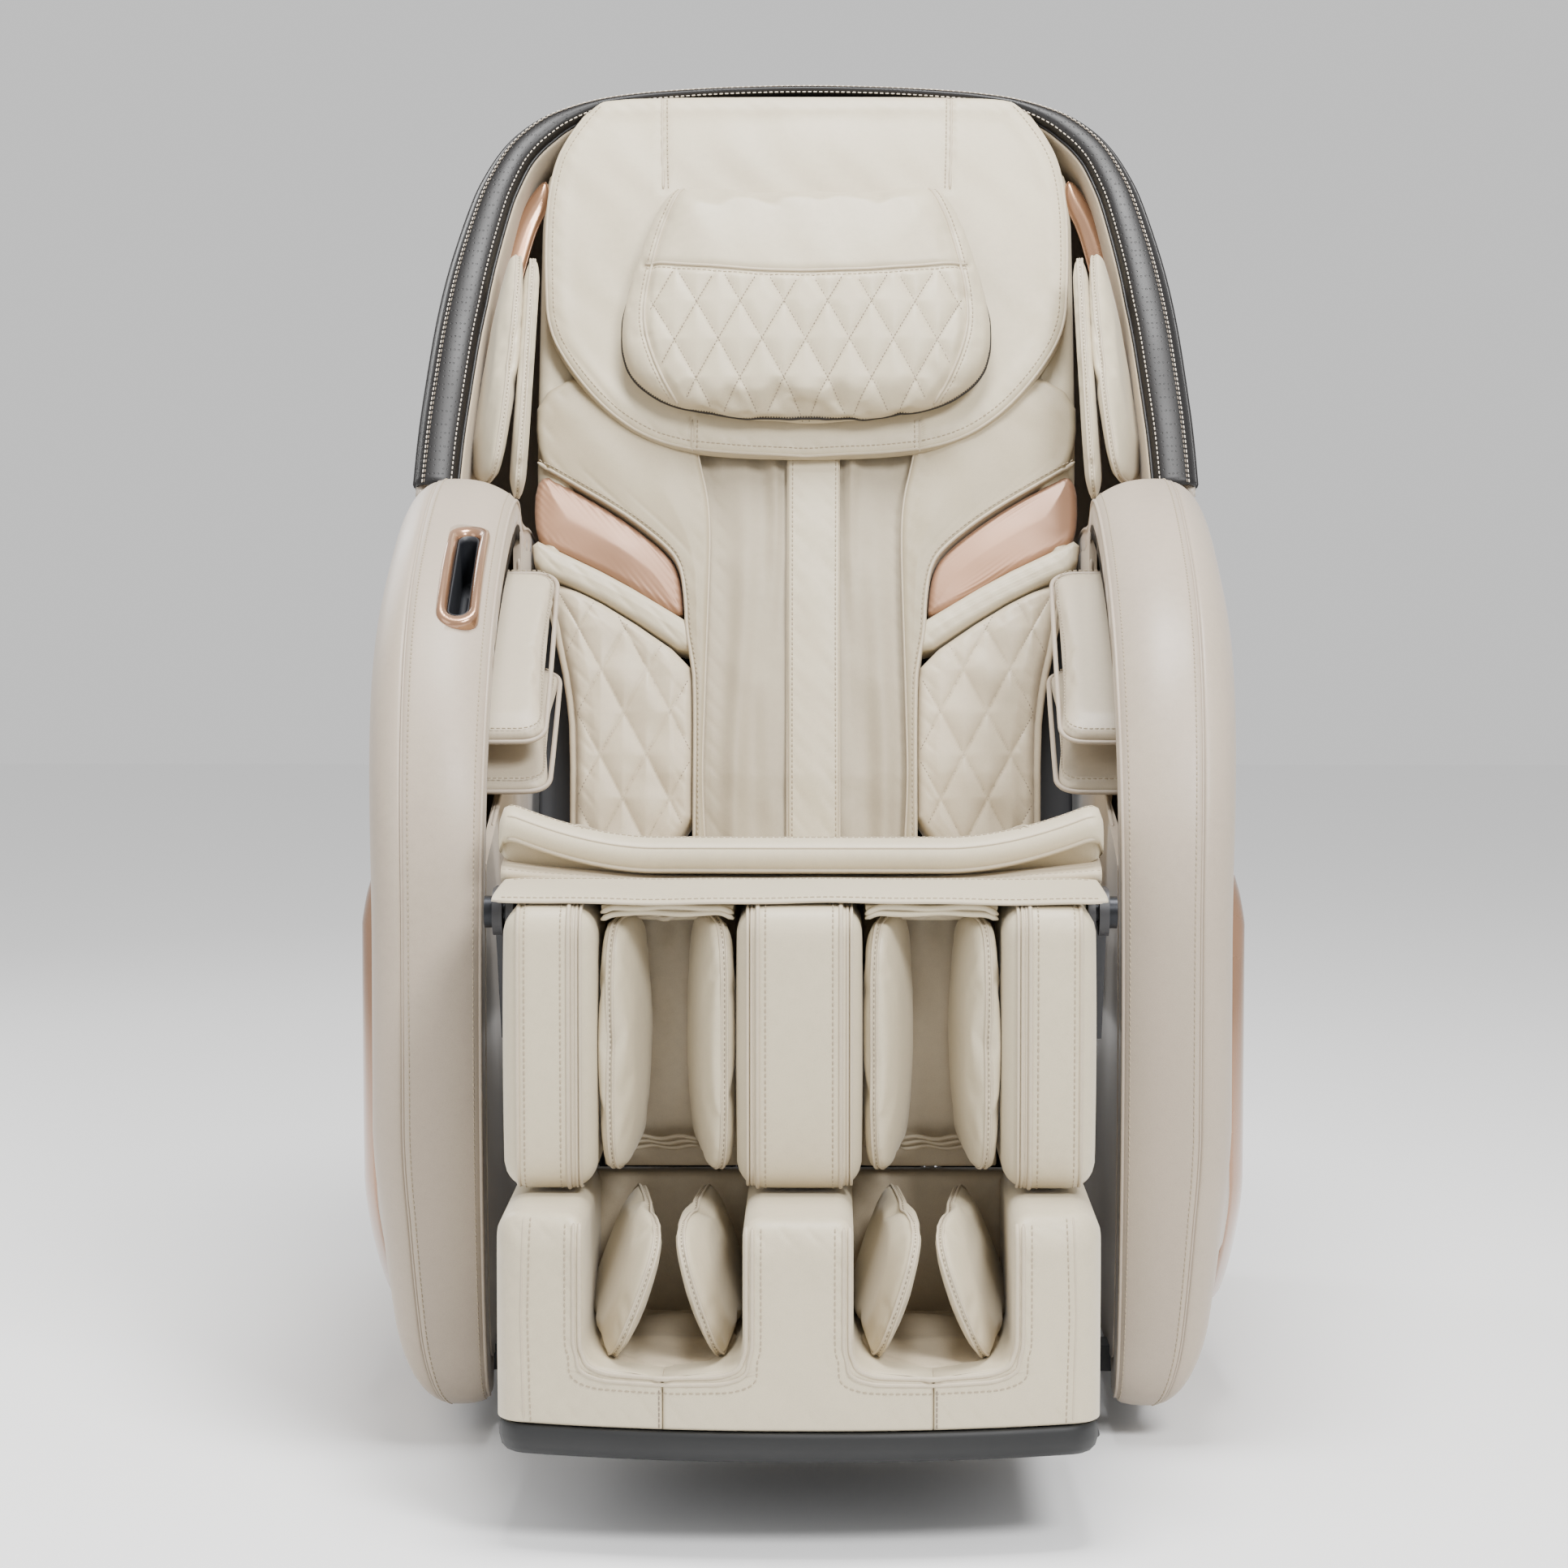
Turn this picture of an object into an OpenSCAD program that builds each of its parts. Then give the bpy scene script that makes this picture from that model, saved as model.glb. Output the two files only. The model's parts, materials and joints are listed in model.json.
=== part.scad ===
// Reclining massage chair: floor frame with side arms, a tilting seat, a reclining back with a
// massage carriage on rails, and a lifting leg rest with a sliding foot rest.
// X runs across the chair, the sitter faces -Y, Z is up. "left" and "right" are the sitter's own.

/* [Seat and back] */
// Angle of the back from upright at rest
back_angle = 20; // [18:1:22]
// Half width of the seat's front lip
lip_hw = 250; // [240:1:251]
// Half width of the seat behind its lip
seat_hw = 214; // [200:1:215]
// Height of the seat's front lip
seat_top = 519; // [512:1:522]
// Half width of the open track down the middle of the back
track_hw = 92; // [88:1:96]

/* [Arms] */
// Inner face of each arm
arm_in = 264; // [264:1:268]
// Outer face of each arm's padding
arm_out = 384; // [380:1:390]
// Thickness of the padded band over each arm
band_t = 42; // [36:1:46]
// Thickness of each arm airbag
bag_t = 16; // [12:1:18]

/* [Leg rest] */
// Half width of the calf block
calf_hw = 229; // [222:1:229]
// Half width of the middle column between the calf channels
col_in = 48; // [42:1:52]
// Inner side of each outer column
col_out = 157; // [152:1:162]
// Half width of the foot block
foot_hw = 230; // [222:1:231]

/* [Shell] */
// Thickness of the back shell
shell_t = 9; // [7:1:12]
// Depth from the back's pivot line to the rear of the shell
shell_back = 240; // [225:1:245]
// Radius of the shell's lower edges around the recline pivot
shell_r = 443; // [442:1:446]

/* [Running gear] */
// Radius of the main pivot bolts
bolt_r = 8; // [6:0.5:9]
// Running clearance in every bore
run_c = 0.06; // [0.03:0.01:0.09]
// Radius of the transport wheels
wheel_r = 34; // [30:1:34]

/* [Hidden] */
$fn = 48;
oy = 26.4;           // moves the drawing so that the origin is under the middle of the chair
P1 = [170, 360];     // recline and seat tilt pivot, Y and Z
P2 = [-420, 462];    // leg rest pivot, Y and Z

module place() { translate([0, oy, 0]) children(); }
module inback() { translate([0, P1[0], P1[1]]) rotate([-back_angle, 0, 0]) children(); }
// both hands: the child as drawn on the left (+X) and its mirror image
module both() { children(); mirror([1, 0, 0]) children(); }
// a YZ outline spanning x0 to x1 on the left side
module slab(x0, x1) { translate([x0, 0, 0]) rotate([90, 0, 90]) linear_extrude(x1 - x0) children(); }
// a cylinder along X
module xcyl(x0, x1, y, z, r) { translate([x0, y, z]) rotate([0, 90, 0]) cylinder(r = r, h = x1 - x0); }
function arc(c, r, a0, a1, n) = [for (i = [0:n]) let(a = a0 + (a1 - a0) * i / n) [c[0] + r * sin(a), c[1] + r * cos(a)]];

// ---------------------------------------------------------------- arms
arm_front = [[-290, 45], [-318, 78], [-338, 150], [-348, 250], [-351, 370], [-347, 460], [-334, 535],
             [-307, 602], [-263, 664], [-204, 714], [-131, 754], [-46, 783], [40, 798], [95, 801]];
arm_rear = concat(arc(P1, 430, -7, 40, 8), [[500, 620], [536, 530], [552, 430], [552, 300], [532, 170], [496, 84], [458, 45]]);
module arm_outline() { polygon(concat(arm_front, arm_rear)); }
module band_outline() {
    difference() {
        arm_outline();
        translate([0, 0]) offset(delta = -band_t) arm_outline();
        translate([-250, -10]) square([900, 60 + band_t]);
    }
}
// the arm's outer face, seen from above, leans in towards the front; g moves it outwards
module arm_plan(g) { linear_extrude(900) polygon([[200, -400], [arm_out - 34.4 + g, -400], [arm_out - 29 + g, -351], [arm_out + 8 + g, 0], [arm_out + 8 + g, 600], [200, 600]]); }
module arm_side_panel() { intersection() { slab(arm_out - 18, arm_out + 8) offset(delta = -7) arm_outline(); arm_plan(0); } }
module arm_trim() {
    difference() {
        intersection() {
            slab(340, 404) difference() {
                translate([90, 330]) circle(r = 300, $fn = 96);
                translate([150, 372]) circle(r = 305, $fn = 96);
                translate([-300, -50]) square([800, 100 + 14]);
                translate([-300, 470]) square([800, 300]);
            }
            arm_plan(396 - arm_out);
        }
        arm_plan(0.3);
    }
}
module arm_band(slot = false) {
    difference() {
        intersection() { slab(arm_in, arm_out - 18.4) band_outline(); arm_plan(0); }
        if (slot) pocket_frame() {
            translate([0, 0, -14.3]) linear_extrude(80) stadium(18.8, 66);
            translate([-13.4, -69.9, -120]) cube([26.8, 139.8, 120]);
        }
    }
}
module arm_inner_panel() {
    slab(arm_in, arm_in + 7) difference() {
        offset(delta = -band_t - 0.5) arm_outline();
        polygon([[-330, 515], [-215, 515], [-60, 560], [75, 640], [75, 900], [-330, 900]]);
    }
}
module bag(x0, x1, y0, z0, y1, z1) {
    a = atan2(z1 - z0, y1 - y0);
    l = sqrt((z1 - z0) * (z1 - z0) + (y1 - y0) * (y1 - y0));
    translate([x0, y0, z0]) rotate([a, 0, 0]) translate([0, 0, -bag_t]) cube([x1 - x0, l, bag_t]);
}
module arm_airbags() {
    bag(222, 320, -190, 592, 18, 735);
    bag(218, 320, -190, 540, 0, 641);
}
module stadium(r, h) { translate([0, -h]) circle(r); translate([0, h]) circle(r); translate([-r, -h]) square([2 * r, 2 * h]); }
module pocket_frame() { translate([295, -152, 742.5]) rotate([27.5, 0, 0]) children(); }
module phone_pocket() {
    mirror([1, 0, 0]) pocket_frame() difference() {
        union() {
            translate([0, 0, -14]) linear_extrude(15) stadium(18.5, 66);
            translate([-13, -69.5, -62]) cube([26, 139, 50]);
        }
        translate([0, 0, -57]) linear_extrude(80) stadium(9.5, 59);
    }
}

// ---------------------------------------------------------------- base
module base_frame() {
    both() {
        translate([212, -290, 42]) cube([36, 730, 30]);
        difference() {
            slab(250, 258) union() {
                polygon([[120, 42], [230, 42], [195, 372], [145, 372]]);
                translate(P1) circle(26);
            }
            xcyl(240, 270, P1[0], P1[1], bolt_r + run_c);
        }
        translate([248, 120, 42]) cube([2, 110, 30]);
        for (y = [-240, 340]) translate([248, y, 48]) cube([y < 0 ? 60 : 100, 36, 22]);
    }
    translate([-212, -290, 42]) cube([424, 30, 30]);
    translate([-212, 410, 42]) cube([424, 30, 30]);
    translate([-212, 60, 42]) cube([424, 30, 24]);
}
module levelling_feet() {
    both() for (y = [-270, 330]) translate([230, y, 0]) { cylinder(r1 = 24, r2 = 20, h = 16); translate([0, 0, 16]) cylinder(r = 9, h = 26); }
}
module wheel_axles() { both() xcyl(250, 288, 425, wheel_r + 5, 6); both() translate([248, 405, 30]) cube([4, 40, 42]); }
module transport_wheel() {
    difference() {
        translate([257, 425, wheel_r + 5]) rotate([0, 90, 0]) rotate_extrude() polygon([[0, 0], [wheel_r - 3, 0], [wheel_r, 3], [wheel_r, 21], [wheel_r - 3, 24], [0, 24]]);
        xcyl(240, 300, 425, wheel_r + 5, 6 + run_c);
    }
}
module base_rear_cover() {
    difference() {
        slab(-208, 208) polygon([[250, 80], [444, 76], [446, 52], [505, 50], [532, 120], [522, 228], [440, 206], [250, 165]]);
        slab(-202, 202) polygon([[200, 20], [499, 20], [499, 56], [526, 120], [516, 221], [440, 200], [200, 158]]);
        translate([-75, 490, 95]) cube([150, 60, 80]);
    }
}
module power_panel() {
    difference() {
        translate([-74.5, 506, 95.5]) cube([149, 12, 79]);
        translate([-55, 510, 118]) cube([28, 20, 22]);
        translate([12, 500, 118]) cube([30, 30, 24]);
    }
    translate([-56, 498, 117]) cube([30, 8, 24]);
    translate([-8, 518, 130]) rotate([-90, 0, 0]) cylinder(r = 6, h = 6);
}
module power_switch() {
    slab(13, 41) polygon([[506, 119.5], [518, 119.5], [521, 125], [518.5, 130], [516, 140.5], [506, 140.5]]);
    xcyl(12.1, 13, 511, 130, 2.5);
    xcyl(41, 41.9, 511, 130, 2.5);
}
module control_box() { translate([-160, 110, 74]) cube([150, 120, 70]); translate([-150, 120, 144]) cube([60, 40, 8]); }
module air_pump() {
    translate([30, 110, 74]) cube([140, 120, 44]);
    for (x = [65, 135]) translate([x, 170, 118]) cylinder(r = 26, h = 30);
    translate([150, 170, 118]) translate([12, 0, 0]) cylinder(r = 5, h = 22);
}
module pivot_bolts() { both() { xcyl(223, 262, P1[0], P1[1], bolt_r); xcyl(221, 229.6, P1[0], P1[1], 15); } }
module tilt_actuator_tube() {
    difference() { translate([110, -245, 72]) cylinder(r = 22, h = 150); translate([110, -245, 80]) cylinder(r = 9 + run_c, h = 160); }
    translate([85, -259.9, 42]) cube([50, 30, 30]);
    translate([60, -262, 78]) cube([34, 34, 70]);
}
module tilt_actuator_rod() {
    translate([110, -245, 92]) cylinder(r = 9, h = 206);
    difference() {
        translate([99, -269, 298]) cube([22, 48, 36]);
        translate([90, 0, 0]) slab(0, 40) hull() { translate([-252, 316]) circle(7.5, $fn = 24); translate([-238, 316]) circle(7.5, $fn = 24); }
    }
}

// ---------------------------------------------------------------- seat
module seat_plate() {
    difference() {
        union() {
            translate(P1) circle(25);
            polygon([[172, 335], [172, 385], [-300, 412], [-385, 480], [-420, 481], [-350, 350]]);
            translate(P2) circle(19);
        }
    }
}
module seat_frame() {
    both() difference() {
        slab(240, 248) seat_plate();
        xcyl(230, 260, P1[0], P1[1], bolt_r + run_c);
        xcyl(230, 260, P2[0], P2[1], bolt_r + run_c);
    }
    translate([-240, 60, 345]) cube([480, 24, 24]);
    translate([-240, -330, 408]) cube([480, 22, 25.9]);
    for (x = [-170, 150]) translate([x, 62, 369]) cube([20, 20, 29.8]);
    // tilt pin under the front
    difference() { union() { translate([84, -255, 300]) cube([10, 26, 98]); translate([126, -255, 300]) cube([10, 26, 98]); } xcyl(80, 140, -245, 316, 5 - 0.01); }
    translate([-240, -257, 398]) cube([480, 30, 14]);
    xcyl(84, 136, -245, 316, 5);
}
module seat_pan() { slab(-212, 212) polygon([[-345, 438], [118, 396], [118, 402], [-345, 444]]); }
module seat_cushion() {
    slab(-seat_hw, seat_hw) polygon([[-275, 438.6], [-275, 505], [-180, 492], [-60, 473], [60, 458], [100, 452], [112, 446], [114, 403.4]]);
    slab(-204, 204) polygon([[-340, 445], [-343, 495], [-260, 495], [-260, 440]]);
    slab(-lip_hw, lip_hw) polygon([[-370, 487], [-388, 489], [-391, 500], [-384, seat_top - 3], [-368, seat_top], [-330, seat_top], [-255, 506.5], [-255, 487.5]]);
    both() slab(lip_hw - 46, lip_hw - 0.5) polygon([[-386, 503], [-383, 530], [-368, 545], [-330, 550], [-268, 540], [-262, 500]]);
}
module seat_lower_lip() {
    slab(-lip_hw + 11, lip_hw - 11) polygon([[-350, 477], [-382, 477], [-387, 480], [-385, 485], [-370, 486.4], [-350, 485.5]]);
}
module knee_flap_upper() { slab(-236, 236) polygon([[-388, 436], [-388, 473], [-382, 475.2], [-375.5, 475.2], [-375.5, 433], [-382, 432]]); }
module legrest_pivot_bolts() { both() { xcyl(231.5, 251, P2[0], P2[1], bolt_r); xcyl(248.4, 255, P2[0], P2[1], 13); } }
module seat_actuator_tubes() {
    difference() { translate([0, -292, 374]) rotate([-90, 0, 0]) cylinder(r = 20, h = 232); translate([0, -300, 374]) rotate([-90, 0, 0]) cylinder(r = 8 + run_c, h = 225); }
    translate([-20, -60, 346]) cube([40, 119.9, 22]);
    difference() { translate([-110, -150, 262]) rotate([-90, 0, 0]) cylinder(r = 20, h = 255); translate([-110, -140, 262]) rotate([-90, 0, 0]) cylinder(r = 8 + run_c, h = 260); }
    translate([-130, 61, 281]) cube([40, 22, 63.9]);
}
module rod_eye(x, y, z, w, slot_r, sz) {
    difference() {
        translate([x - 9, y - w, z - sz - slot_r - 5]) cube([18, 2 * w, 2 * (sz + slot_r + 5)]);
        slab(x - 20, x + 20) hull() { translate([y, z - sz]) circle(slot_r, $fn = 24); translate([y, z + sz]) circle(slot_r, $fn = 24); }
    }
}
recl_pin = [170 + 100 * sin(20), 360 - 100 * cos(20)];
leg_pin = [P2[0] + 100 * sin(40), P2[1] - 100 * cos(40)];
module recline_actuator_rod() {
    translate([-110, -30, 262]) rotate([-90, 0, 0]) cylinder(r = 8, h = recl_pin[0] - 11.9 + 30);
    rod_eye(-110, recl_pin[0], 263, 12, 7, 6);
}
module legrest_actuator_rod() {
    translate([0, leg_pin[0] + 13.9, 374]) rotate([-90, 0, 0]) cylinder(r = 8, h = 225);
    rod_eye(0, leg_pin[0], 374, 14, 8.5, 15);
}

// ---------------------------------------------------------------- back (drawn upright around the recline pivot)
module back_frame() {
    both() difference() {
        slab(230, 238) union() { circle(24); polygon([[-22, 0], [24, 0], [60, 110], [60, 790], [24, 790], [24, 130]]); }
        xcyl(220, 250, 0, 0, bolt_r + run_c);
    }
    translate([-230, 24, 112]) cube([460, 26, 24]);
    translate([-230, 24, 766]) cube([460, 26, 24]);
    translate([-230, 40, 430]) cube([460, 20, 24]);
    // end blocks of the rails
    both() { translate([138, -12, 104]) cube([24, 36, 12]); translate([138, -12, 786]) cube([24, 62, 12]); translate([138, 24, 96]) cube([24, 26, 16]); }
    // recline crank
    rotate([back_angle, 0, 0]) {
        difference() {
            union() {
                slab(-98, -92) polygon([[-10, 20], [26, 20], [44.5, -100], [24, -104]]);
                slab(-128, -122) polygon([[-10, 20], [26, 20], [44.5, -100], [24, -104]]);
            }
            xcyl(-140, -80, 100 * sin(20), -100 * cos(20), 4.99);
        }
        xcyl(-128, -92, 100 * sin(20), -100 * cos(20), 5);
    }
    rotate([back_angle, 0, 0]) translate([-230, -12, 16.5]) cube([460, 40, 10]);
}
module guide_rails() { both() translate([150, 0, 116]) cylinder(r = 9, h = 670); }
rim = [[366, 404.5], [364, 467], [359, 531], [354, 587], [348, 643], [340, 690], [330, 734], [323, 754], [308, 785],
       [293, 807], [273, 825], [254, 837], [211, 851], [157, 859.5], [76, 865], [0, 867]];
function rim_y(z) = -201.5 + (z - 404.5) * 0.2275;
function rear_y(z) = shell_back - 46 * pow(max(0, (z - 560)) / 320, 2) - 20 * pow((z - 560) / 320, 2);
// each ring: share of the depth, share of the width, and how far its top comes down
rings = [[0, 1, 0], [0.2, 1.004, 0], [0.42, 0.995, 4], [0.62, 0.97, 12], [0.8, 0.925, 30], [0.92, 0.84, 58], [0.985, 0.68, 100], [1, 0.4, 170]];
function mirrored(q) = concat(q, [for (i = [len(q) - 2:-1:0]) [-q[i][0], q[i][1]]]);
ringline = mirrored(rim);
shell_line = mirrored(concat([[366, 320]], rim));
function ring(r, inset) = [for (q = shell_line) let(z = 404.5 + (q[1] - 404.5) * (462.5 - r[2] - inset) / 462.5)
    [q[0] * r[1] * (1 - inset / 367), rim_y(z) * (1 - r[0]) + (rear_y(z) - inset) * r[0], z - (inset > 0 && q[1] < 404 ? 20 : 0)]];
module loft(inset, front) {
    R = [for (r = rings) ring(r, inset)];
    n = len(R[0]); m = len(R); h = (n - 1) / 2; e = (m - 1) * n;
    pts = [for (k = [0:m - 1]) for (p = R[k]) (k == 0 ? [p[0], p[1] - front, p[2]] : p)];
    faces = concat(
        [for (k = [0:m - 2]) for (i = [0:n - 2]) [k * n + i, k * n + i + 1, (k + 1) * n + i + 1]],
        [for (k = [0:m - 2]) for (i = [0:n - 2]) [k * n + i, (k + 1) * n + i + 1, (k + 1) * n + i]],
        [for (i = [0:h - 1]) [h == i + 1 ? h : n - 2 - i, i + 1, i]],
        [for (i = [0:h - 1]) [n - 1 - i, h == i + 1 ? h : n - 2 - i, i]],
        [for (i = [0:h - 1]) [e + i, e + i + 1, e + (h == i + 1 ? h : n - 2 - i)]],
        [for (i = [0:h - 1]) [e + i, e + (h == i + 1 ? h : n - 2 - i), e + n - 1 - i]],
        [for (k = [0:m - 2]) [k * n, (k + 1) * n, (k + 1) * n + n - 1]],
        [for (k = [0:m - 2]) [k * n, (k + 1) * n + n - 1, k * n + n - 1]]);
    F = [for (f = faces) if (f[0] != f[1] && f[1] != f[2] && f[0] != f[2]) f];
    polyhedron(points = pts, faces = F, convexity = 6);
}
module shell_solid() {
    difference() {
        loft(0, 0);
        loft(shell_t, 40);
        xcyl(-400, 400, 0, 0, shell_r);
    }
}
module back_shell() { shell_solid(); }
module back_lower_cover() {
    slab(-222, 222) polygon([[192, 96], [206, 90], [211, 380], [203, 436], [191, 436], [198, 380]]);
    both() translate([215, 66, 300]) cube([7, 128, 26]);
    both() translate([224, 60, 300]) cube([14, 62, 26]);
    both() translate([222, 66, 300]) cube([2, 56, 26]);
}
// padded grey band that runs round the front edge of the shell
module shell_rim_band() {
    wid = 46;
    n = len(ringline);
    function nrm(i) = let(a = ringline[max(0, i - 1)], b = ringline[min(n - 1, i + 1)], d = b - a, l = norm(d)) [-d[1] / l, d[0] / l];
    function wd(i) = let(f = min(i, n - 1 - i)) (f < 7 ? wid : f < 10 ? wid - (f - 6) * 8 : 16);
    pts = [for (i = [0:n - 1]) let(q = ringline[i], m = nrm(i), w = wd(i), o = [q[0], q[1]], c = o + m * w)
        each [[o[0], rim_y(o[1]) - 0.4, o[1]], [o[0] + m[0] * 4, rim_y(o[1]) - 10.4, o[1] + m[1] * 4], [c[0] - m[0] * 4, rim_y(c[1]) - 8.4, c[1] - m[1] * 4], [c[0], rim_y(c[1]) - 0.4, c[1]]]];
    faces = concat(
        [for (i = [0:n - 2]) for (j = [0:3]) let(a = i * 4 + j, b = i * 4 + (j + 1) % 4) [a, b, b + 4]],
        [for (i = [0:n - 2]) for (j = [0:3]) let(a = i * 4 + j, b = i * 4 + (j + 1) % 4) [a, b + 4, a + 4]],
        [[3, 2, 1, 0]], [[(n - 1) * 4, (n - 1) * 4 + 1, (n - 1) * 4 + 2, (n - 1) * 4 + 3]]);
    translate([0, -0.2, 0]) polyhedron(points = pts, faces = faces, convexity = 6);
}
module shell_accent_panels() {
    // glossy liners inside the shell, beside the head
    both() translate([303, -96, 690]) rotate([0, -19, 0]) cube([6, 62, 112]);
}
module shoulder_airbags() {
    // outer and inner leaf on the left side
    translate([298, 0, 424]) rotate([0, -4.8, 0]) translate([0, 0, -424]) slab(-8, 8) polygon([[-212, 424], [-216, 480], [-204, 560], [-176, 632], [-150, 648], [-120, 640], [-100, 560], [-100, 452], [-130, 447], [-170, 432]]);
    translate([275, 0, 424]) rotate([0, -2.4, 0]) translate([0, 0, -424]) slab(-5.5, 5.5) polygon([[-206, 424], [-212, 470], [-200, 560], [-172, 640], [-146, 655], [-122, 640], [-122, 452], [-150, 432], [-180, 422]]);
}
module back_bolster() {
    difference() {
        slab(track_hw + 10, 234) polygon([[-112, 86], [-118, 150], [-119, 240], [-114, 380], [-106, 440], [-98.8, 462], [-98.8, 800], [-40, 800], [-40, 120], [-62, 92]]);
        translate([227, -60, 60]) cube([20, 30, 800]);
    }
    translate([234, -98, 300]) cube([18, 38, 470]);
}
module back_center_cover() {
    slab(-track_hw - 9.6, track_hw + 9.6) polygon([[-108, 92], [-113, 150], [-113, 240], [-108, 380], [-101, 445], [-98.6, 470], [-98.6, 800], [-92, 800], [-92, 470], [-94, 445], [-101, 380], [-106, 240], [-106, 150], [-101, 92]]);
}
pad_out = [[214, 822], [236, 785], [250, 724], [256, 655], [254, 600], [231, 557], [194, 513], [151, 484], [97, 472], [0, 467]];
module mirror_poly(p) { polygon(concat(p, [for (i = [len(p) - 1:-1:0]) if (p[i][0] > 0) [-p[i][0], p[i][1]]])); }
module head_pad() {
    translate([0, -99.2, 0]) rotate([90, 0, 0]) linear_extrude(20) mirror_poly(pad_out);
    xcyl(-200, 200, -109.2, 821, 9.5);   // hinge roll along the top
}
pil_out = [[0, 746], [125, 744], [148, 727], [166, 668], [181, 600], [182, 566], [169, 534], [128, 503], [60, 491], [0, 490]];
module head_pillow() { translate([0, -119.2, 0]) rotate([90, 0, 0]) linear_extrude(54) mirror_poly(pil_out); }
car_z = 330;   // carriage height at rest
module massage_carriage() {
    both() for (z = [car_z - 70, car_z + 50]) difference() {
        translate([150, 0, z]) cylinder(r = 15, h = 24);
        translate([150, 0, z - 5]) cylinder(r = 9 + run_c, h = 40);
    }
    both() translate([118, -6, car_z - 70]) cube([18, 12, 144]);
    translate([-118, -6, car_z + 58]) cube([236, 12, 14]);
    translate([-118, -6, car_z - 66]) cube([236, 12, 14]);
    translate([-40, 5.9, car_z - 66]) cube([80, 12, 138]);
    // motor
    translate([-45, 26.5, car_z + 40]) rotate([0, 90, 0]) cylinder(r = 9.9, h = 90);
    both() difference() { translate([106, -14, car_z - 14]) cube([12, 22, 28]); xcyl(100, 130, -3, car_z, 7 + run_c); }
    both() translate([106, -4, car_z + 14]) cube([12, 8, 44]);
}
module kneading_shaft() {
    xcyl(-117, 117, -3, car_z, 7);
    both() difference() { xcyl(42, 58, -3 - 4, car_z, 17); xcyl(40, 60, -3, car_z, 6.99); }
}
module massage_arms() {
    both() difference() {
        union() {
            xcyl(43, 57, -3, car_z, 27);
            slab(45, 55) polygon([[-20, car_z - 20], [-62, car_z - 58], [-70, car_z - 46], [-44, car_z], [-70, car_z + 46], [-62, car_z + 58], [-20, car_z + 20]]);
        }
        xcyl(30, 70, -3, car_z, 22);
        for (s = [-1, 1]) xcyl(30, 70, -62, car_z + s * 50, 5);
    }
    both() xcyl(40, 44, 14.3, car_z + 17.3, 2.2);
}
module massage_heads() {
    both() for (s = [-1, 1]) {
        xcyl(40, 60, -62, car_z + s * 50, 4.9);
        for (x = [32, 60.2]) translate([x, -62, car_z + s * 50]) rotate([0, 90, 0]) rotate_extrude() polygon([[0, 0], [18, 0], [23, 4], [23, 8.6], [18, 12.8], [0, 12.8]]);
    }
}

// ---------------------------------------------------------------- leg rest
module legrest_frame() {
    both() difference() {
        slab(231, 237) union() { translate(P2) circle(18); polygon([[-438, 462], [-402, 462], [-395, 400], [-395, 290], [-420, 290]]); }
        xcyl(225, 260, P2[0], P2[1], bolt_r + run_c);
    }
    both() difference() {
        translate([190, -386, 284]) cylinder(r = 11.5, h = 138);
        translate([190, -386, 270]) cylinder(r = 8 + run_c, h = 170);
    }
    translate([-231, -403, 300]) cube([462, 8, 24]);
    translate([-231, -403, 396]) cube([462, 8, 24]);
    both() translate([178, -398, 284]) cube([24, 3, 138]);
    // lift crank
    difference() {
        union() for (x = [-18, 12]) slab(x, x + 6) polygon([[-399, 398], [-399, 424], [-350, 394], [-346, 378], [-360, 374]]);
        xcyl(-30, 30, leg_pin[0], leg_pin[1], 4.99);
    }
    xcyl(-18, 18, leg_pin[0], leg_pin[1], 5);
}
module column(x0, x1) {
    slab(x0, x1) polygon([[-404, 272], [-555, 268], [-566, 276], [-570, 300], [-570, 450], [-566, 470], [-552, 480], [-410, 480], [-404, 470]]);
}
module calf_columns() { column(-col_in, col_in); both() column(col_out, calf_hw); }
module calf_back_pad() { both() slab(col_in + 0.3, col_out - 0.3) polygon([[-404, 272], [-436, 274], [-446, 300], [-446, 440], [-440, 474], [-410, 478], [-404, 470]]); }
module calf_airbags() {
    both() {
        slab(132, 152) polygon([[-447.5, 290], [-540, 268], [-556, 300], [-556, 440], [-540, 466], [-447.5, 462]]);
        slab(53, 78) polygon([[-447.5, 290], [-540, 268], [-556, 300], [-556, 440], [-540, 466], [-447.5, 462]]);
    }
}
module knee_flap_lower() { slab(-226, 226) polygon([[-560, 481], [-548, 484.5], [-416, 484.5], [-414, 480.4], [-552, 480.4]]); }
module plan_front(hw, y1, r) {
    // bowed front edge from left to right, then straight back
    polygon(concat([for (i = [-10:10]) let(x = hw * i / 10) [x, -680 + 34 * pow(abs(i) / 10, 2.2) + (abs(i) == 10 ? r : 0)]], [[hw, y1], [-hw, y1]]));
}
module foot_base() {
    difference() {
        translate([0, 0, 71]) linear_extrude(25) plan_front(foot_hw - 2, -374, 6);
        translate([-300, -900, 60]) rotate([10, 0, 0]) translate([0, 0, -80]) cube([600, 300, 60]);
    }
    both() translate([190, -386, 95.9]) cylinder(r = 8, h = 300);
    both() for (x = [55, 141]) difference() { translate([x, -555, 95.9]) cube([8, 30, 24]); xcyl(x - 5, x + 15, -540, 111, 4 + run_c); }
}
well0 = 48; well1 = 155;
module foot_prism(x0, x1, z0, z1) { intersection() { translate([0, 0, z0]) linear_extrude(z1 - z0) plan_front(foot_hw, -402, 6); translate([x0, -800, z0]) cube([x1 - x0, 500, z1 - z0]); } }
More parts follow.
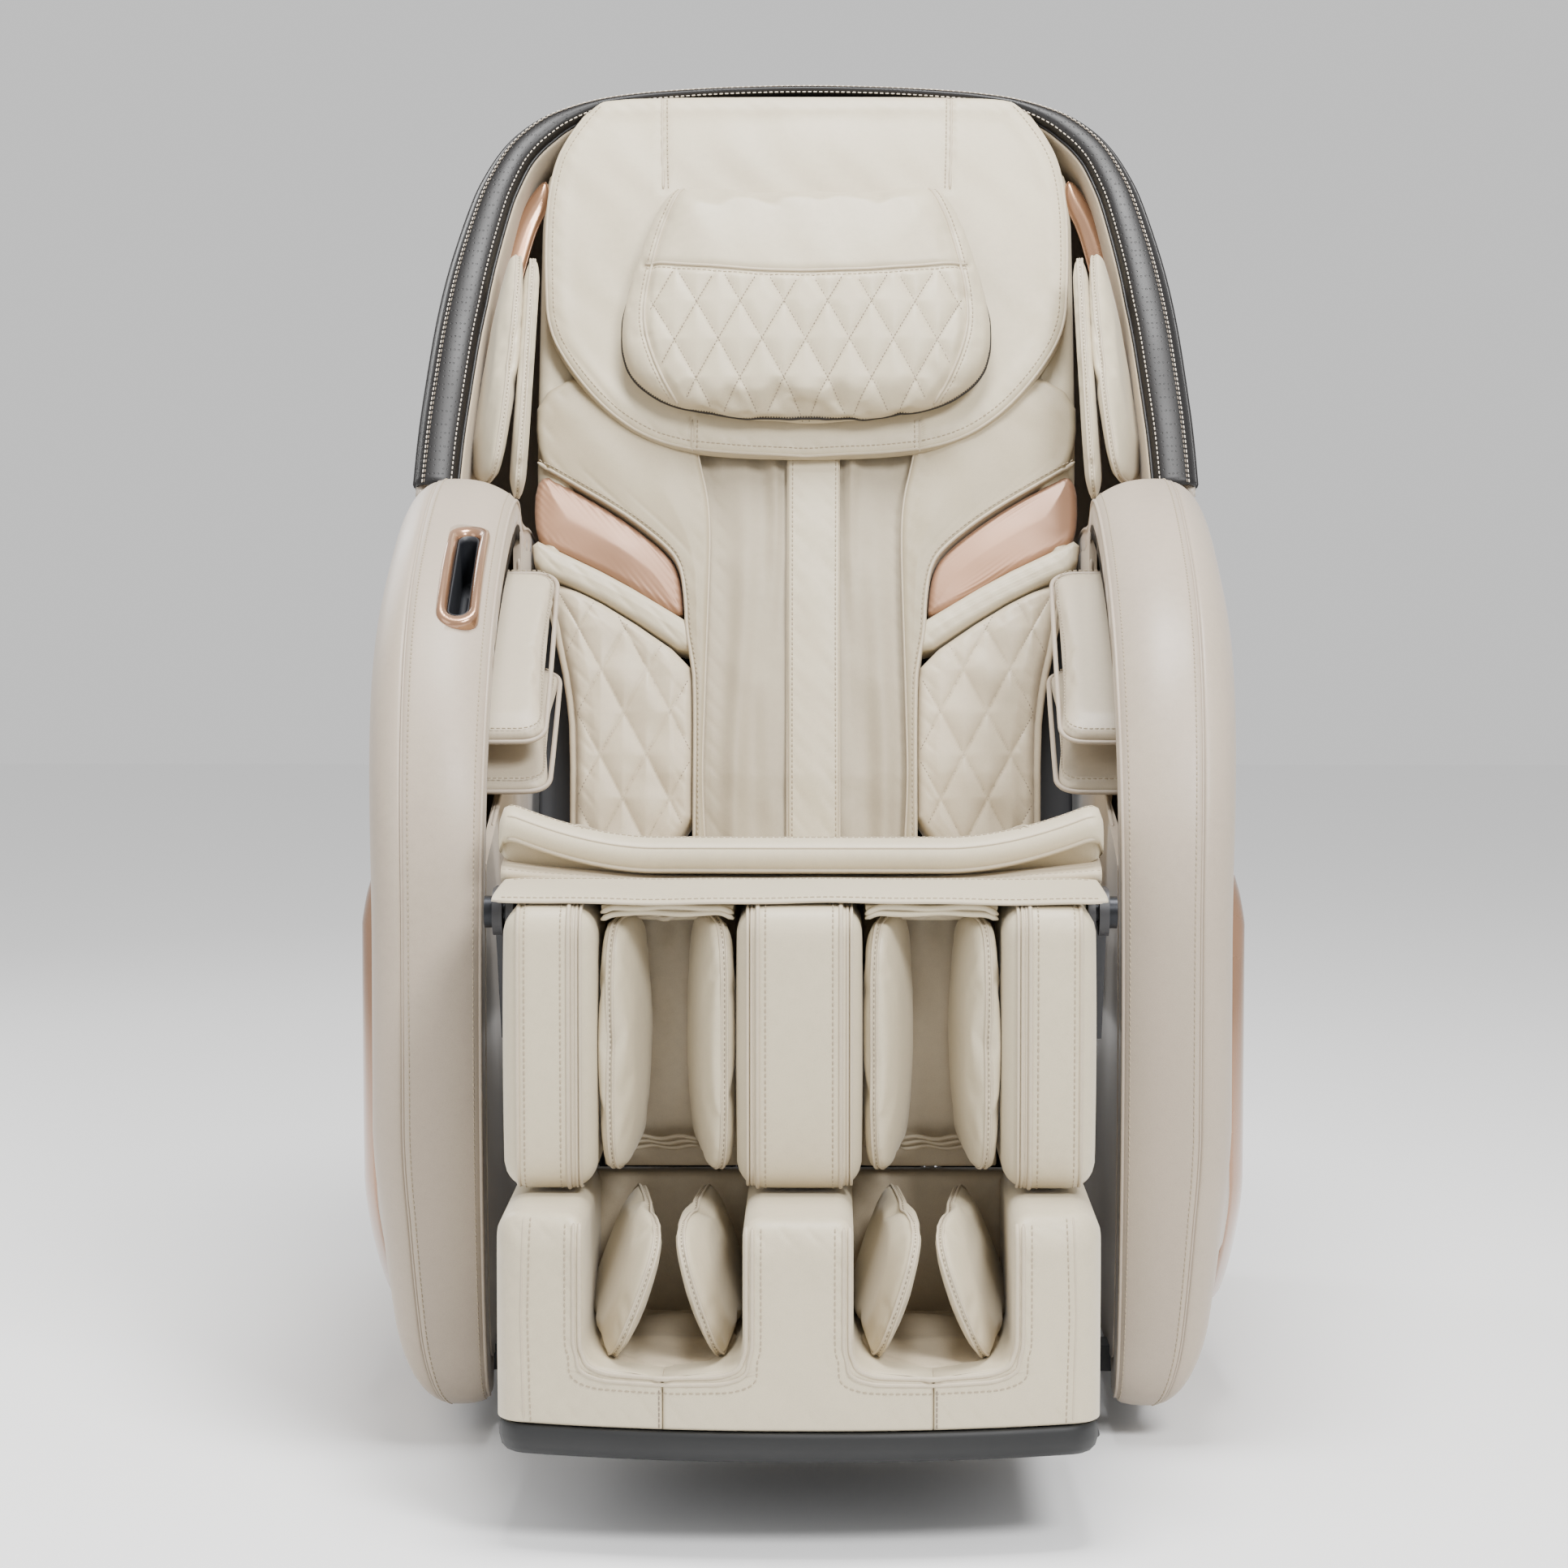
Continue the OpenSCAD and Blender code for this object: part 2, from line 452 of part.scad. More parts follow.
module foot_block() {
    foot_prism(-well0, well0, 96.3, 256);
    both() foot_prism(well1, foot_hw, 96.3, 256);
    both() intersection() { foot_prism(well0 + 0.01, well1 - 0.01, 96.3, 138); translate([0, -800, 0]) cube([400, 173, 400]); }
    both() translate([well0 + 0.01, -428, 96.3]) cube([well1 - well0 - 0.02, 26, 158]);
    both() translate([well0 + 0.5, -626, 126]) cube([well1 - well0 - 1, 197.5, 14]);
}
module foot_airbags() {
    both() {
        slab(130, 150) polygon([[-440, 250], [-640, 252], [-655, 225], [-640, 141], [-440, 145]]);
        slab(53, 75) polygon([[-440, 250], [-640, 252], [-655, 225], [-640, 141], [-440, 145]]);
    }
}
module foot_rollers() {
    xcyl(54.5, 149.5, -540, 111, 4);
    for (x = [68, 90, 112, 131]) translate([x, -540, 111]) rotate([0, 90, 0]) difference() { cylinder(r = 13.6, h = 7); translate([0, 0, -1]) cylinder(r = 3.99, h = 10); }
}

// ---------------------------------------------------------------- nodes
cream = [0.84, 0.81, 0.76]; grey = [0.36, 0.36, 0.39]; rose = [0.72, 0.58, 0.53]; dark = [0.12, 0.13, 0.15]; steel = [0.3, 0.31, 0.33];
place() color(steel) base_frame();
place() color(dark) levelling_feet();
place() color("silver") wheel_axles();
place() color(dark) mirror([1, 0, 0]) transport_wheel();  // transport_wheel_right
place() color(dark) transport_wheel();  // transport_wheel_left
place() color(grey) base_rear_cover();
place() color(dark) power_panel();
place() color("black") power_switch();
place() color(grey) control_box();
place() color("silver") air_pump();
place() color("silver") pivot_bolts();
place() color(cream) mirror([1, 0, 0]) arm_side_panel();  // right_arm_side_panel
place() color(cream) arm_side_panel();  // left_arm_side_panel
place() color(cream) mirror([1, 0, 0]) arm_band(true);  // right_arm_band
place() color(cream) arm_band();  // left_arm_band
place() color(cream) mirror([1, 0, 0]) arm_inner_panel();  // right_arm_inner_panel
place() color(cream) arm_inner_panel();  // left_arm_inner_panel
place() color(rose) mirror([1, 0, 0]) arm_trim();  // right_arm_trim
place() color(rose) arm_trim();  // left_arm_trim
place() color(cream) mirror([1, 0, 0]) arm_airbags();  // right_arm_airbags
place() color(cream) arm_airbags();  // left_arm_airbags
place() color(rose) phone_pocket();
place() color("silver") tilt_actuator_tube();
place() color("silver") tilt_actuator_rod();
place() color(steel) seat_frame();
place() color(steel) seat_pan();
place() color(cream) seat_cushion();
place() color(cream) seat_lower_lip();
place() color(cream) knee_flap_upper();
place() color("silver") legrest_pivot_bolts();
place() color("silver") seat_actuator_tubes();
place() color("silver") recline_actuator_rod();
place() color("silver") legrest_actuator_rod();
place() inback() color(steel) back_frame();
place() inback() color("silver") guide_rails();
place() inback() color(cream) back_shell();
place() inback() color(grey) back_lower_cover();
place() inback() color(grey) shell_rim_band();
place() inback() color(rose) shell_accent_panels();
place() inback() color(cream) mirror([1, 0, 0]) shoulder_airbags();  // right_shoulder_airbags
place() inback() color(cream) shoulder_airbags();  // left_shoulder_airbags
place() inback() color(cream) mirror([1, 0, 0]) back_bolster();  // right_back_bolster
place() inback() color(cream) back_bolster();  // left_back_bolster
place() inback() color(cream) back_center_cover();
place() inback() color(cream) head_pad();
place() inback() color(cream) head_pillow();
place() inback() color(steel) massage_carriage();
place() inback() color("silver") kneading_shaft();
place() inback() color(grey) massage_arms();
place() inback() color(dark) massage_heads();
place() color(steel) legrest_frame();
place() color(cream) calf_columns();
place() color(cream) calf_back_pad();
place() color(cream) calf_airbags();
place() color(cream) knee_flap_lower();
place() color(grey) foot_base();
place() color(cream) foot_block();
place() color(cream) foot_airbags();
place() color(dark) mirror([1, 0, 0]) foot_rollers();  // foot_rollers_right
place() color(dark) foot_rollers();  // foot_rollers_left
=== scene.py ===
import bpy, bmesh, math, json
import numpy as np
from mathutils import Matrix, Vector
from mathutils.bvhtree import BVHTree


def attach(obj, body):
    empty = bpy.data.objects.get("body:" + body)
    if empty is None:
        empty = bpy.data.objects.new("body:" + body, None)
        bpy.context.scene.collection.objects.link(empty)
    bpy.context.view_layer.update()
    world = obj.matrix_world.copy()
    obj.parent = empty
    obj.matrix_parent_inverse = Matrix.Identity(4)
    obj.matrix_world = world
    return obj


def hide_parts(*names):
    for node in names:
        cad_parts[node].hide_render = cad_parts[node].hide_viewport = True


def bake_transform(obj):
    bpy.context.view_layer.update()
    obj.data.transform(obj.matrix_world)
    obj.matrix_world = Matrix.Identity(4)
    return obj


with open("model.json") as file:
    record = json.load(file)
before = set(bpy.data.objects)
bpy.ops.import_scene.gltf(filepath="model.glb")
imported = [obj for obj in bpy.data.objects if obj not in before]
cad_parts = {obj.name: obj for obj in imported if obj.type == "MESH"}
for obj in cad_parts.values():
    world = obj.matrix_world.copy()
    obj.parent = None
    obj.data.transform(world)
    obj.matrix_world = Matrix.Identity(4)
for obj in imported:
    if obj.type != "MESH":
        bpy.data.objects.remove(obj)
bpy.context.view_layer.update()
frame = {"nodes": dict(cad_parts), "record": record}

OY = 26.4
P1Y, P1Z = 170.0, 360.0
BA = math.radians(20)
SB, CB = math.sin(BA), math.cos(BA)
scene = bpy.context.scene

# ------------------------------------------------------------------ camera
cam = bpy.data.objects.new("camera", bpy.data.cameras.new("camera"))
scene.collection.objects.link(cam)
cam.data.sensor_width = 36.0
cam.data.lens = 4800.0 / 1932.0 * 36.0
cam.data.clip_start, cam.data.clip_end = 0.05, 60
cam.location = (0.024, -3.55 + OY / 1000, 0.775)
cam.rotation_euler = (math.radians(90 - 3.83), 0, math.radians(0.685))
scene.camera = cam


# ------------------------------------------------------------------ frames, all in mm, out in metres
def wd(x, y, z):
    return np.stack([x, y + OY, z], -1) / 1000.0


def bk(x, u, v):
    """back frame: across, up along the back, rearwards"""
    x, u, v = np.broadcast_arrays(np.asarray(x, float), u, v)
    return np.stack([x, P1Y + OY + SB * u + CB * v, P1Z + CB * u - SB * v], -1) / 1000.0


def front_plane(x, z, d):
    """upright plane seen from the front: depth d is the design Y"""
    x, z, d = np.broadcast_arrays(np.asarray(x, float), z, d)
    return np.stack([x, d + OY, z], -1) / 1000.0


def side_plane(sx):
    """plane seen from the side sx: a is Y, b is Z, depth d goes towards the middle from |x| = -d"""
    def f(a, b, d):
        a, b, d = np.broadcast_arrays(np.asarray(a, float), b, d)
        return np.stack([-sx * d, a + OY, b], -1) / 1000.0
    return f


def top_plane(x, y, d):
    """plane seen from above: depth d is minus Z"""
    x, y, d = np.broadcast_arrays(np.asarray(x, float), y, d)
    return np.stack([x, y + OY, -d], -1) / 1000.0


# ------------------------------------------------------------------ materials
def lin(h):
    h = h.lstrip("#")
    c = [int(h[i:i + 2], 16) / 255 for i in (0, 2, 4)]
    return tuple((v / 12.92 if v <= 0.04045 else ((v + 0.055) / 1.055) ** 2.4) for v in c) + (1.0,)


def newmat(name):
    m = bpy.data.materials.new(name)
    m.use_nodes = True
    nt = m.node_tree
    b = nt.nodes["Principled BSDF"]
    return m, nt, b


def node(nt, kind, **inp):
    n = nt.nodes.new(kind)
    for k, v in inp.items():
        n.inputs[k.replace("_", " ")].default_value = v
    return n


def ramp(nt, src, stops):
    r = nt.nodes.new("ShaderNodeValToRGB")
    els = r.color_ramp.elements
    while len(els) < len(stops):
        els.new(0.5)
    for e, (p, c) in zip(els, stops):
        e.position, e.color = p, c
    nt.links.new(src, r.inputs[0])
    return r


def scaled(c, k):
    return (min(1, c[0] * k), min(1, c[1] * k), min(1, c[2] * k), 1)


def coords(nt):
    return nt.nodes.new("ShaderNodeTexCoord").outputs["Object"]


def leather(name, hexcol, rough=0.46, grain=900.0, bump=0.12, crease=0.25, sheen=0.12, var=0.05):
    m, nt, b = newmat(name)
    L = nt.links.new
    co = coords(nt)
    base = lin(hexcol)
    big = node(nt, "ShaderNodeTexNoise", Scale=5.5, Detail=4.0, Roughness=0.55)
    L(co, big.inputs["Vector"])
    fine = node(nt, "ShaderNodeTexNoise", Scale=140.0, Detail=3.0)
    L(co, fine.inputs["Vector"])
    mix = nt.nodes.new("ShaderNodeMix"); mix.data_type = "FLOAT"
    mix.inputs[0].default_value = 0.35
    L(big.outputs["Fac"], mix.inputs[2]); L(fine.outputs["Fac"], mix.inputs[3])
    r = ramp(nt, mix.outputs[0], [(0.32, scaled(base, 1 - var * 1.5)), (0.5, base), (0.72, scaled(base, 1 + var))])
    # pores, a little darker in the valleys
    vor = nt.nodes.new("ShaderNodeTexVoronoi"); vor.feature = "DISTANCE_TO_EDGE"
    vor.inputs["Scale"].default_value = grain
    warp = node(nt, "ShaderNodeTexNoise", Scale=grain * 0.4, Detail=2.0)
    L(co, warp.inputs["Vector"])
    add = nt.nodes.new("ShaderNodeVectorMath"); add.operation = "MULTIPLY_ADD"
    add.inputs[1].default_value = (0.0012, 0.0012, 0.0012)
    L(warp.outputs["Color"], add.inputs[0]); L(co, add.inputs[2])
    L(add.outputs[0], vor.inputs["Vector"])
    dk = ramp(nt, vor.outputs["Distance"], [(0.0, (0.86, 0.85, 0.84, 1)), (0.16, (1, 1, 1, 1))])
    mul = nt.nodes.new("ShaderNodeMix"); mul.data_type = "RGBA"; mul.blend_type = "MULTIPLY"
    mul.inputs[0].default_value = 0.6
    L(r.outputs[0], mul.inputs[6]); L(dk.outputs[0], mul.inputs[7])
    # painted shade: concave creases and seams (low pointiness) are darkened in the base colour, standing in for the
    # shade that falls in them
    geo = nt.nodes.new("ShaderNodeNewGeometry")
    low = ramp(nt, geo.outputs["Pointiness"], [(0.40, (0.60, 0.56, 0.50, 1)), (0.47, (0.86, 0.84, 0.81, 1)), (0.497, (1, 1, 1, 1))])
    painted_crease_shade_mix = nt.nodes.new("ShaderNodeMix"); painted_crease_shade_mix.data_type = "RGBA"; painted_crease_shade_mix.blend_type = "MULTIPLY"
    painted_crease_shade_mix.inputs[0].default_value = 0.85
    L(mul.outputs[2], painted_crease_shade_mix.inputs[6]); L(low.outputs[0], painted_crease_shade_mix.inputs[7])
    L(painted_crease_shade_mix.outputs[2], b.inputs["Base Color"])
    rr = ramp(nt, big.outputs["Fac"], [(0.3, (rough - 0.05,) * 3 + (1,)), (0.7, (rough + 0.07,) * 3 + (1,))])
    L(rr.outputs[0], b.inputs["Roughness"])
    wr = node(nt, "ShaderNodeTexNoise", Scale=26.0, Detail=5.0, Roughness=0.6, Distortion=0.6)
    L(co, wr.inputs["Vector"])
    b1 = nt.nodes.new("ShaderNodeBump"); b1.inputs["Strength"].default_value = crease; b1.inputs["Distance"].default_value = 0.0012
    L(wr.outputs["Fac"], b1.inputs["Height"])
    b2 = nt.nodes.new("ShaderNodeBump"); b2.inputs["Strength"].default_value = bump; b2.inputs["Distance"].default_value = 0.0004
    L(vor.outputs["Distance"], b2.inputs["Height"]); L(b1.outputs[0], b2.inputs["Normal"])
    L(b2.outputs[0], b.inputs["Normal"])
    b.inputs["Sheen Weight"].default_value = sheen
    b.inputs["Sheen Roughness"].default_value = 0.4
    b.inputs["Specular IOR Level"].default_value = 0.42
    return m


def perforated(name, hexcol):
    m, nt, b = newmat(name)
    L = nt.links.new
    co = coords(nt)
    base = lin(hexcol)
    vor = nt.nodes.new("ShaderNodeTexVoronoi"); vor.feature = "F1"
    vor.inputs["Scale"].default_value = 235.0; vor.inputs["Randomness"].default_value = 0.12
    L(co, vor.inputs["Vector"])
    hole = ramp(nt, vor.outputs["Distance"], [(0.16, (0.30, 0.29, 0.29, 1)), (0.27, (1, 1, 1, 1))])
    big = node(nt, "ShaderNodeTexNoise", Scale=7.0, Detail=3.0)
    L(co, big.inputs["Vector"])
    r = ramp(nt, big.outputs["Fac"], [(0.3, scaled(base, 0.9)), (0.7, scaled(base, 1.1))])
    mul = nt.nodes.new("ShaderNodeMix"); mul.data_type = "RGBA"; mul.blend_type = "MULTIPLY"
    mul.inputs[0].default_value = 0.85
    L(r.outputs[0], mul.inputs[6]); L(hole.outputs[0], mul.inputs[7])
    L(mul.outputs[2], b.inputs["Base Color"])
    bp = nt.nodes.new("ShaderNodeBump"); bp.inputs["Strength"].default_value = 0.35; bp.inputs["Distance"].default_value = 0.0008
    L(hole.outputs[0], bp.inputs["Height"]); L(bp.outputs[0], b.inputs["Normal"])
    b.inputs["Specular IOR Level"].default_value = 0.35
    rr = ramp(nt, big.outputs["Fac"], [(0.3, (0.40,) * 3 + (1,)), (0.7, (0.5,) * 3 + (1,))])
    L(rr.outputs[0], b.inputs["Roughness"])
    return m


def satin(name, hexcol):
    """pearly woven satin inlay"""
    m, nt, b = newmat(name)
    L = nt.links.new
    co = coords(nt)
    base = lin(hexcol)
    n1 = node(nt, "ShaderNodeTexNoise", Scale=9.0, Detail=3.0, Distortion=0.4)
    L(co, n1.inputs["Vector"])
    r = ramp(nt, n1.outputs["Fac"], [(0.3, scaled(base, 0.86)), (0.55, base), (0.75, scaled(base, 1.12))])
    L(r.outputs[0], b.inputs["Base Color"])
    w = nt.nodes.new("ShaderNodeTexWave"); w.inputs["Scale"].default_value = 420.0; w.inputs["Distortion"].default_value = 1.0
    L(co, w.inputs["Vector"])
    bp = nt.nodes.new("ShaderNodeBump"); bp.inputs["Strength"].default_value = 0.08; bp.inputs["Distance"].default_value = 0.0002
    L(w.outputs["Fac"], bp.inputs["Height"])
    n2 = node(nt, "ShaderNodeTexNoise", Scale=34.0, Detail=3.0, Distortion=1.2)
    L(co, n2.inputs["Vector"])
    b1 = nt.nodes.new("ShaderNodeBump"); b1.inputs["Strength"].default_value = 0.08; b1.inputs["Distance"].default_value = 0.001
    L(n2.outputs["Fac"], b1.inputs["Height"]); L(b1.outputs[0], bp.inputs["Normal"])
    L(bp.outputs[0], b.inputs["Normal"])
    rr = ramp(nt, n1.outputs["Fac"], [(0.3, (0.38,) * 3 + (1,)), (0.7, (0.5,) * 3 + (1,))])
    L(rr.outputs[0], b.inputs["Roughness"])
    b.inputs["Metallic"].default_value = 0.2
    b.inputs["Sheen Weight"].default_value = 0.1
    return m


def hard(name, hexcol, rough=0.4, metal=0.0, var=0.06, bump=0.06, scale=420.0, coat=0.0, streak=False, wear=None):
    m, nt, b = newmat(name)
    L = nt.links.new
    co = coords(nt)
    base = lin(hexcol)
    n1 = node(nt, "ShaderNodeTexNoise", Scale=9.0, Detail=5.0, Roughness=0.6)
    L(co, n1.inputs["Vector"])
    r = ramp(nt, n1.outputs["Fac"], [(0.3, scaled(base, 1 - var)), (0.7, scaled(base, 1 + var))])
    col = r.outputs[0]
    if wear:
        geo = nt.nodes.new("ShaderNodeNewGeometry")
        pr = ramp(nt, geo.outputs["Pointiness"], [(0.53, (0, 0, 0, 1)), (0.62, (1, 1, 1, 1))])
        mx = nt.nodes.new("ShaderNodeMix"); mx.data_type = "RGBA"
        L(pr.outputs[0], mx.inputs[0]); L(col, mx.inputs[6]); mx.inputs[7].default_value = lin(wear)
        col = mx.outputs[2]
    L(col, b.inputs["Base Color"])
    n2 = node(nt, "ShaderNodeTexNoise", Scale=scale, Detail=2.0)
    if streak:
        mp = nt.nodes.new("ShaderNodeMapping"); mp.inputs["Scale"].default_value = (1, 0.04, 1)
        L(co, mp.inputs["Vector"]); L(mp.outputs[0], n2.inputs["Vector"])
    else:
        L(co, n2.inputs["Vector"])
    bp = nt.nodes.new("ShaderNodeBump"); bp.inputs["Strength"].default_value = bump; bp.inputs["Distance"].default_value = 0.0004
    L(n2.outputs["Fac"], bp.inputs["Height"]); L(bp.outputs[0], b.inputs["Normal"])
    rr = ramp(nt, n1.outputs["Fac"], [(0.3, (max(0.02, rough - 0.05),) * 3 + (1,)), (0.7, (rough + 0.06,) * 3 + (1,))])
    L(rr.outputs[0], b.inputs["Roughness"])
    b.inputs["Metallic"].default_value = metal
    b.inputs["Coat Weight"].default_value = coat
    return m


M = {
    "cream": leather("leather_cream", "#C2B69C"),
    # darker copy of the cream leather: painted shade for the shoulder cushions, which lie in the shadow of the head
    # pad
    "cream_back": leather("leather_cream_painted_shade", "#A5987E"),
    "cream_lo": leather("leather_cream_low", "#C0B299", crease=0.5, var=0.07),
    "arm": leather("leather_arm", "#AA9C8B", rough=0.43, crease=0.12),
    "forearm": leather("leather_forearm", "#BBAE98", rough=0.43, crease=0.15),
    "blackbolt": hard("blackened_steel", "#2A2B2E", rough=0.4, metal=0.8, bump=0.1, scale=700.0),
    "piping": leather("leather_piping", "#B9AC95", rough=0.5, crease=0.1),
    "fabric": leather("channel_cover", "#A99D87", rough=0.6, grain=1400.0, bump=0.2, crease=0.5, sheen=0.25),
    "grey": perforated("leather_grey", "#121010"),
    "liner": leather("leather_liner", "#B9AA93", rough=0.5),
    "satin": satin("satin_rose", "#9E775C"),
    "zip": hard("zip_black", "#26221F", rough=0.6),
    "threadlight": leather("thread_light", "#CFC4B4", rough=0.7, grain=2500.0, sheen=0.3),
    "thread": leather("thread", "#A3957E", rough=0.7, grain=2500.0, sheen=0.3),
    "threaddark": leather("thread_shade", "#85796A", rough=0.75, grain=2500.0),
    "shell": hard("shell_plastic", "#B8AD9F", rough=0.36, bump=0.05, coat=0.1),
    "rose": hard("rose_lacquer", "#9A7458", rough=0.24, metal=0.6, bump=0.02, coat=0.5),
    "base": hard("grey_plastic", "#0A0B0C", rough=0.55, bump=0.16, scale=900.0),
    "dark": hard("dark_plastic", "#1D1F24", rough=0.5, bump=0.12, scale=900.0),
    "black": hard("black_plastic", "#101114", rough=0.45, bump=0.1, scale=900.0),
    "steel": hard("frame_steel", "#0D0D0E", rough=0.5, metal=0.0, bump=0.1, scale=700.0, wear="#2B2B2E"),
    "bright": hard("bright_steel", "#BDBEC2", rough=0.26, metal=1.0, bump=0.08, streak=True),
    "alu": hard("aluminium_parts", "#A9ABB0", rough=0.36, metal=1.0, bump=0.14, scale=800.0),
    "rubber": hard("wheel_rubber", "#1B1B1D", rough=0.72, bump=0.3, scale=600.0),
    "roller": hard("roller_rubber", "#2A2A2D", rough=0.6, bump=0.2, scale=700.0),
}
CAD_MAT = {"frame_steel": "steel", "bright_steel": "bright", "aluminium_parts": "alu", "wheel_rubber": "rubber", "roller_rubber": "roller",
           "grey_plastic": "base", "black_plastic": "black", "shell_plastic": "shell", "rose_gloss": "rose", "leather_cream": "cream",
           "leather_arm": "arm", "leather_grey": "grey", "channel_fabric": "fabric"}
slot_of = {s["node"]: s["material_slot"] for s in frame["record"]["subparts"]}
for nm, ob in frame["nodes"].items():
    m = M[CAD_MAT[slot_of[nm]]]
    if not ob.data.materials:
        ob.data.materials.append(m)
    for i in range(len(ob.material_slots)):
        ob.material_slots[i].material = m
for nm in ("legrest_pivot_bolts", "legrest_actuator_rod"):
    for i in range(len(frame["nodes"][nm].material_slots)):
        frame["nodes"][nm].material_slots[i].material = M["blackbolt"]


# ------------------------------------------------------------------ mesh helpers
def link(name, verts, faces, mat, body, smooth=True, repl=(), pad=None, weld=0.0, recalc=True, ride=True):
    me = bpy.data.meshes.new(name)
    me.from_pydata([tuple(map(float, v)) for v in verts], [], [tuple(int(i) for i in f) for f in faces])
    bm = bmesh.new(); bm.from_mesh(me)
    if weld:
        bmesh.ops.remove_doubles(bm, verts=bm.verts, dist=weld)
        bmesh.ops.dissolve_degenerate(bm, edges=bm.edges, dist=weld * 0.5)
    if recalc:
        bmesh.ops.recalc_face_normals(bm, faces=bm.faces)
    bm.to_mesh(me); bm.free()
    for p in me.polygons:
        p.use_smooth = smooth
    me.materials.append(M[mat])
    ob = bpy.data.objects.new(name, me)
    scene.collection.objects.link(ob)
    if ride:
        register(ob, body, repl)
    return ob


def register(ob, body, repl=()):
    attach(ob, body)
    if repl:
        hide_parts(*([repl] if isinstance(repl, str) else repl))
    return ob


def apply_mods(ob):
    dg = bpy.context.evaluated_depsgraph_get()
    me = bpy.data.meshes.new_from_object(ob.evaluated_get(dg))
    old = ob.data
    ob.modifiers.clear()
    ob.data = me
    bpy.data.meshes.remove(old)
    for p in me.polygons:
        p.use_smooth = True
    return ob


def mod(ob, kind, **kw):
    md = ob.modifiers.new(kind.lower(), kind)
    for k, v in kw.items():
        setattr(md, k, v)
    return md


def chaikin(pts, it=3, closed=True):
    p = np.asarray(pts, float)
    for _ in range(it):
        q = np.roll(p, -1, 0) if closed else p[1:]
        a = p if closed else p[:-1]
        n = np.empty((2 * len(a), p.shape[1]))
        n[0::2] = 0.75 * a + 0.25 * q
        n[1::2] = 0.25 * a + 0.75 * q
        if not closed:
            n = np.vstack([p[:1], n, p[-1:]])
        p = n
    return p


def rounded(pts, r, closed=True, n=5):
    """polygon with its corners cut round by about r"""
    p = np.asarray(pts, float); out = []
    N = len(p)
    for i in range(N):
        if not closed and i in (0, N - 1):
            out.append(p[i]); continue
        a, b, c = p[i - 1], p[i], p[(i + 1) % N]
        la, lc = np.linalg.norm(a - b), np.linalg.norm(c - b)
        k = min(r, la * 0.48, lc * 0.48)
        s, e = b + (a - b) / max(la, 1e-9) * k, b + (c - b) / max(lc, 1e-9) * k
        for t in np.linspace(0, 1, n):
            out.append((1 - t) ** 2 * s + 2 * t * (1 - t) * b + t * t * e)
    return np.array(out)


def resample(p, step=None, n=None, closed=False):
    p = np.asarray(p, float)
    if closed:
        p = np.vstack([p, p[:1]])
    d = np.r_[0, np.cumsum(np.linalg.norm(np.diff(p, axis=0), axis=1))]
    keep = np.r_[True, np.diff(d) > 1e-12]
    p, d = p[keep], d[keep]
    if n is None:
        n = max(2, int(round(d[-1] / step)) + 1)
    t = np.linspace(0, d[-1], n)
    out = np.stack([np.interp(t, d, p[:, k]) for k in range(p.shape[1])], 1)
    return out[:-1] if closed else out


def seg_dist(P, line, closed=False):
    """distance of points P (n,2) to a polyline"""
    A = np.asarray(line, float)
    B = np.roll(A, -1, 0) if closed else A[1:]
    A = A if closed else A[:-1]
    best = np.full(len(P), 1e9)
    for a, b in zip(A, B):
        ab = b - a
        t = np.clip(((P - a) @ ab) / max(ab @ ab, 1e-12), 0, 1)
        best = np.minimum(best, np.linalg.norm(P - (a + t[:, None] * ab), axis=1))
    return best


def rows_of(poly, us):
    L, R = [], []
    A, B = poly, np.roll(poly, -1, 0)
    for u in us:
        m = ((A[:, 1] <= u) & (B[:, 1] > u)) | ((B[:, 1] <= u) & (A[:, 1] > u))
        a, b = A[m], B[m]
        x = a[:, 0] + (u - a[:, 1]) / (b[:, 1] - a[:, 1]) * (b[:, 0] - a[:, 0])
        L.append(x.min()); R.append(x.max())
    return np.array(L), np.array(R)


def cl(n, k=0.6):
    t = np.linspace(0, 1, n)
    return (1 - k) * t + k * (0.5 - 0.5 * np.cos(np.pi * t))


TUBES, STITCH, SPANS = {}, {}, {}


def frames(P, closed=False):
    T = np.roll(P, -1, 0) - np.roll(P, 1, 0)
    if not closed:
        T[0], T[-1] = P[1] - P[0], P[-1] - P[-2]
    T /= np.maximum(np.linalg.norm(T, axis=1, keepdims=True), 1e-12)
    N = np.zeros_like(P)
    n = np.cross(T[0], [0.3, 0.5, 0.81]); n /= np.linalg.norm(n)
    for i in range(len(P)):
        n = n - T[i] * (n @ T[i]); n /= max(np.linalg.norm(n), 1e-9)
        N[i] = n
    return T, N, np.cross(T, N)


def tube(P, r, body, mat="piping", closed=False, step=0.0035, k=8):
    """piping along world points (m), r in mm"""
    P = resample(P, step, closed=closed)
    if len(P) < 3:
        return
    T, N, Bn = frames(P, closed)
    r = r / 1000.0
    a = np.linspace(0, 2 * np.pi, k, endpoint=False)
    rr = np.full(len(P), r)
    if not closed:
        rr[0] = rr[-1] = r * 0.35
    V = P[:, None] + rr[:, None, None] * (np.cos(a)[None, :, None] * N[:, None] + np.sin(a)[None, :, None] * Bn[:, None])
    n = len(P); F = []
    for i in range(n if closed else n - 1):
        j = (i + 1) % n
        for q in range(k):
            w = (q + 1) % k
            F.append((i * k + q, i * k + w, j * k + w, j * k + q))
    if not closed:
        F.append(tuple(range(k - 1, -1, -1))); F.append(tuple((n - 1) * k + q for q in range(k)))
    TUBES.setdefault((body, mat), []).append((V.reshape(-1, 3), F))


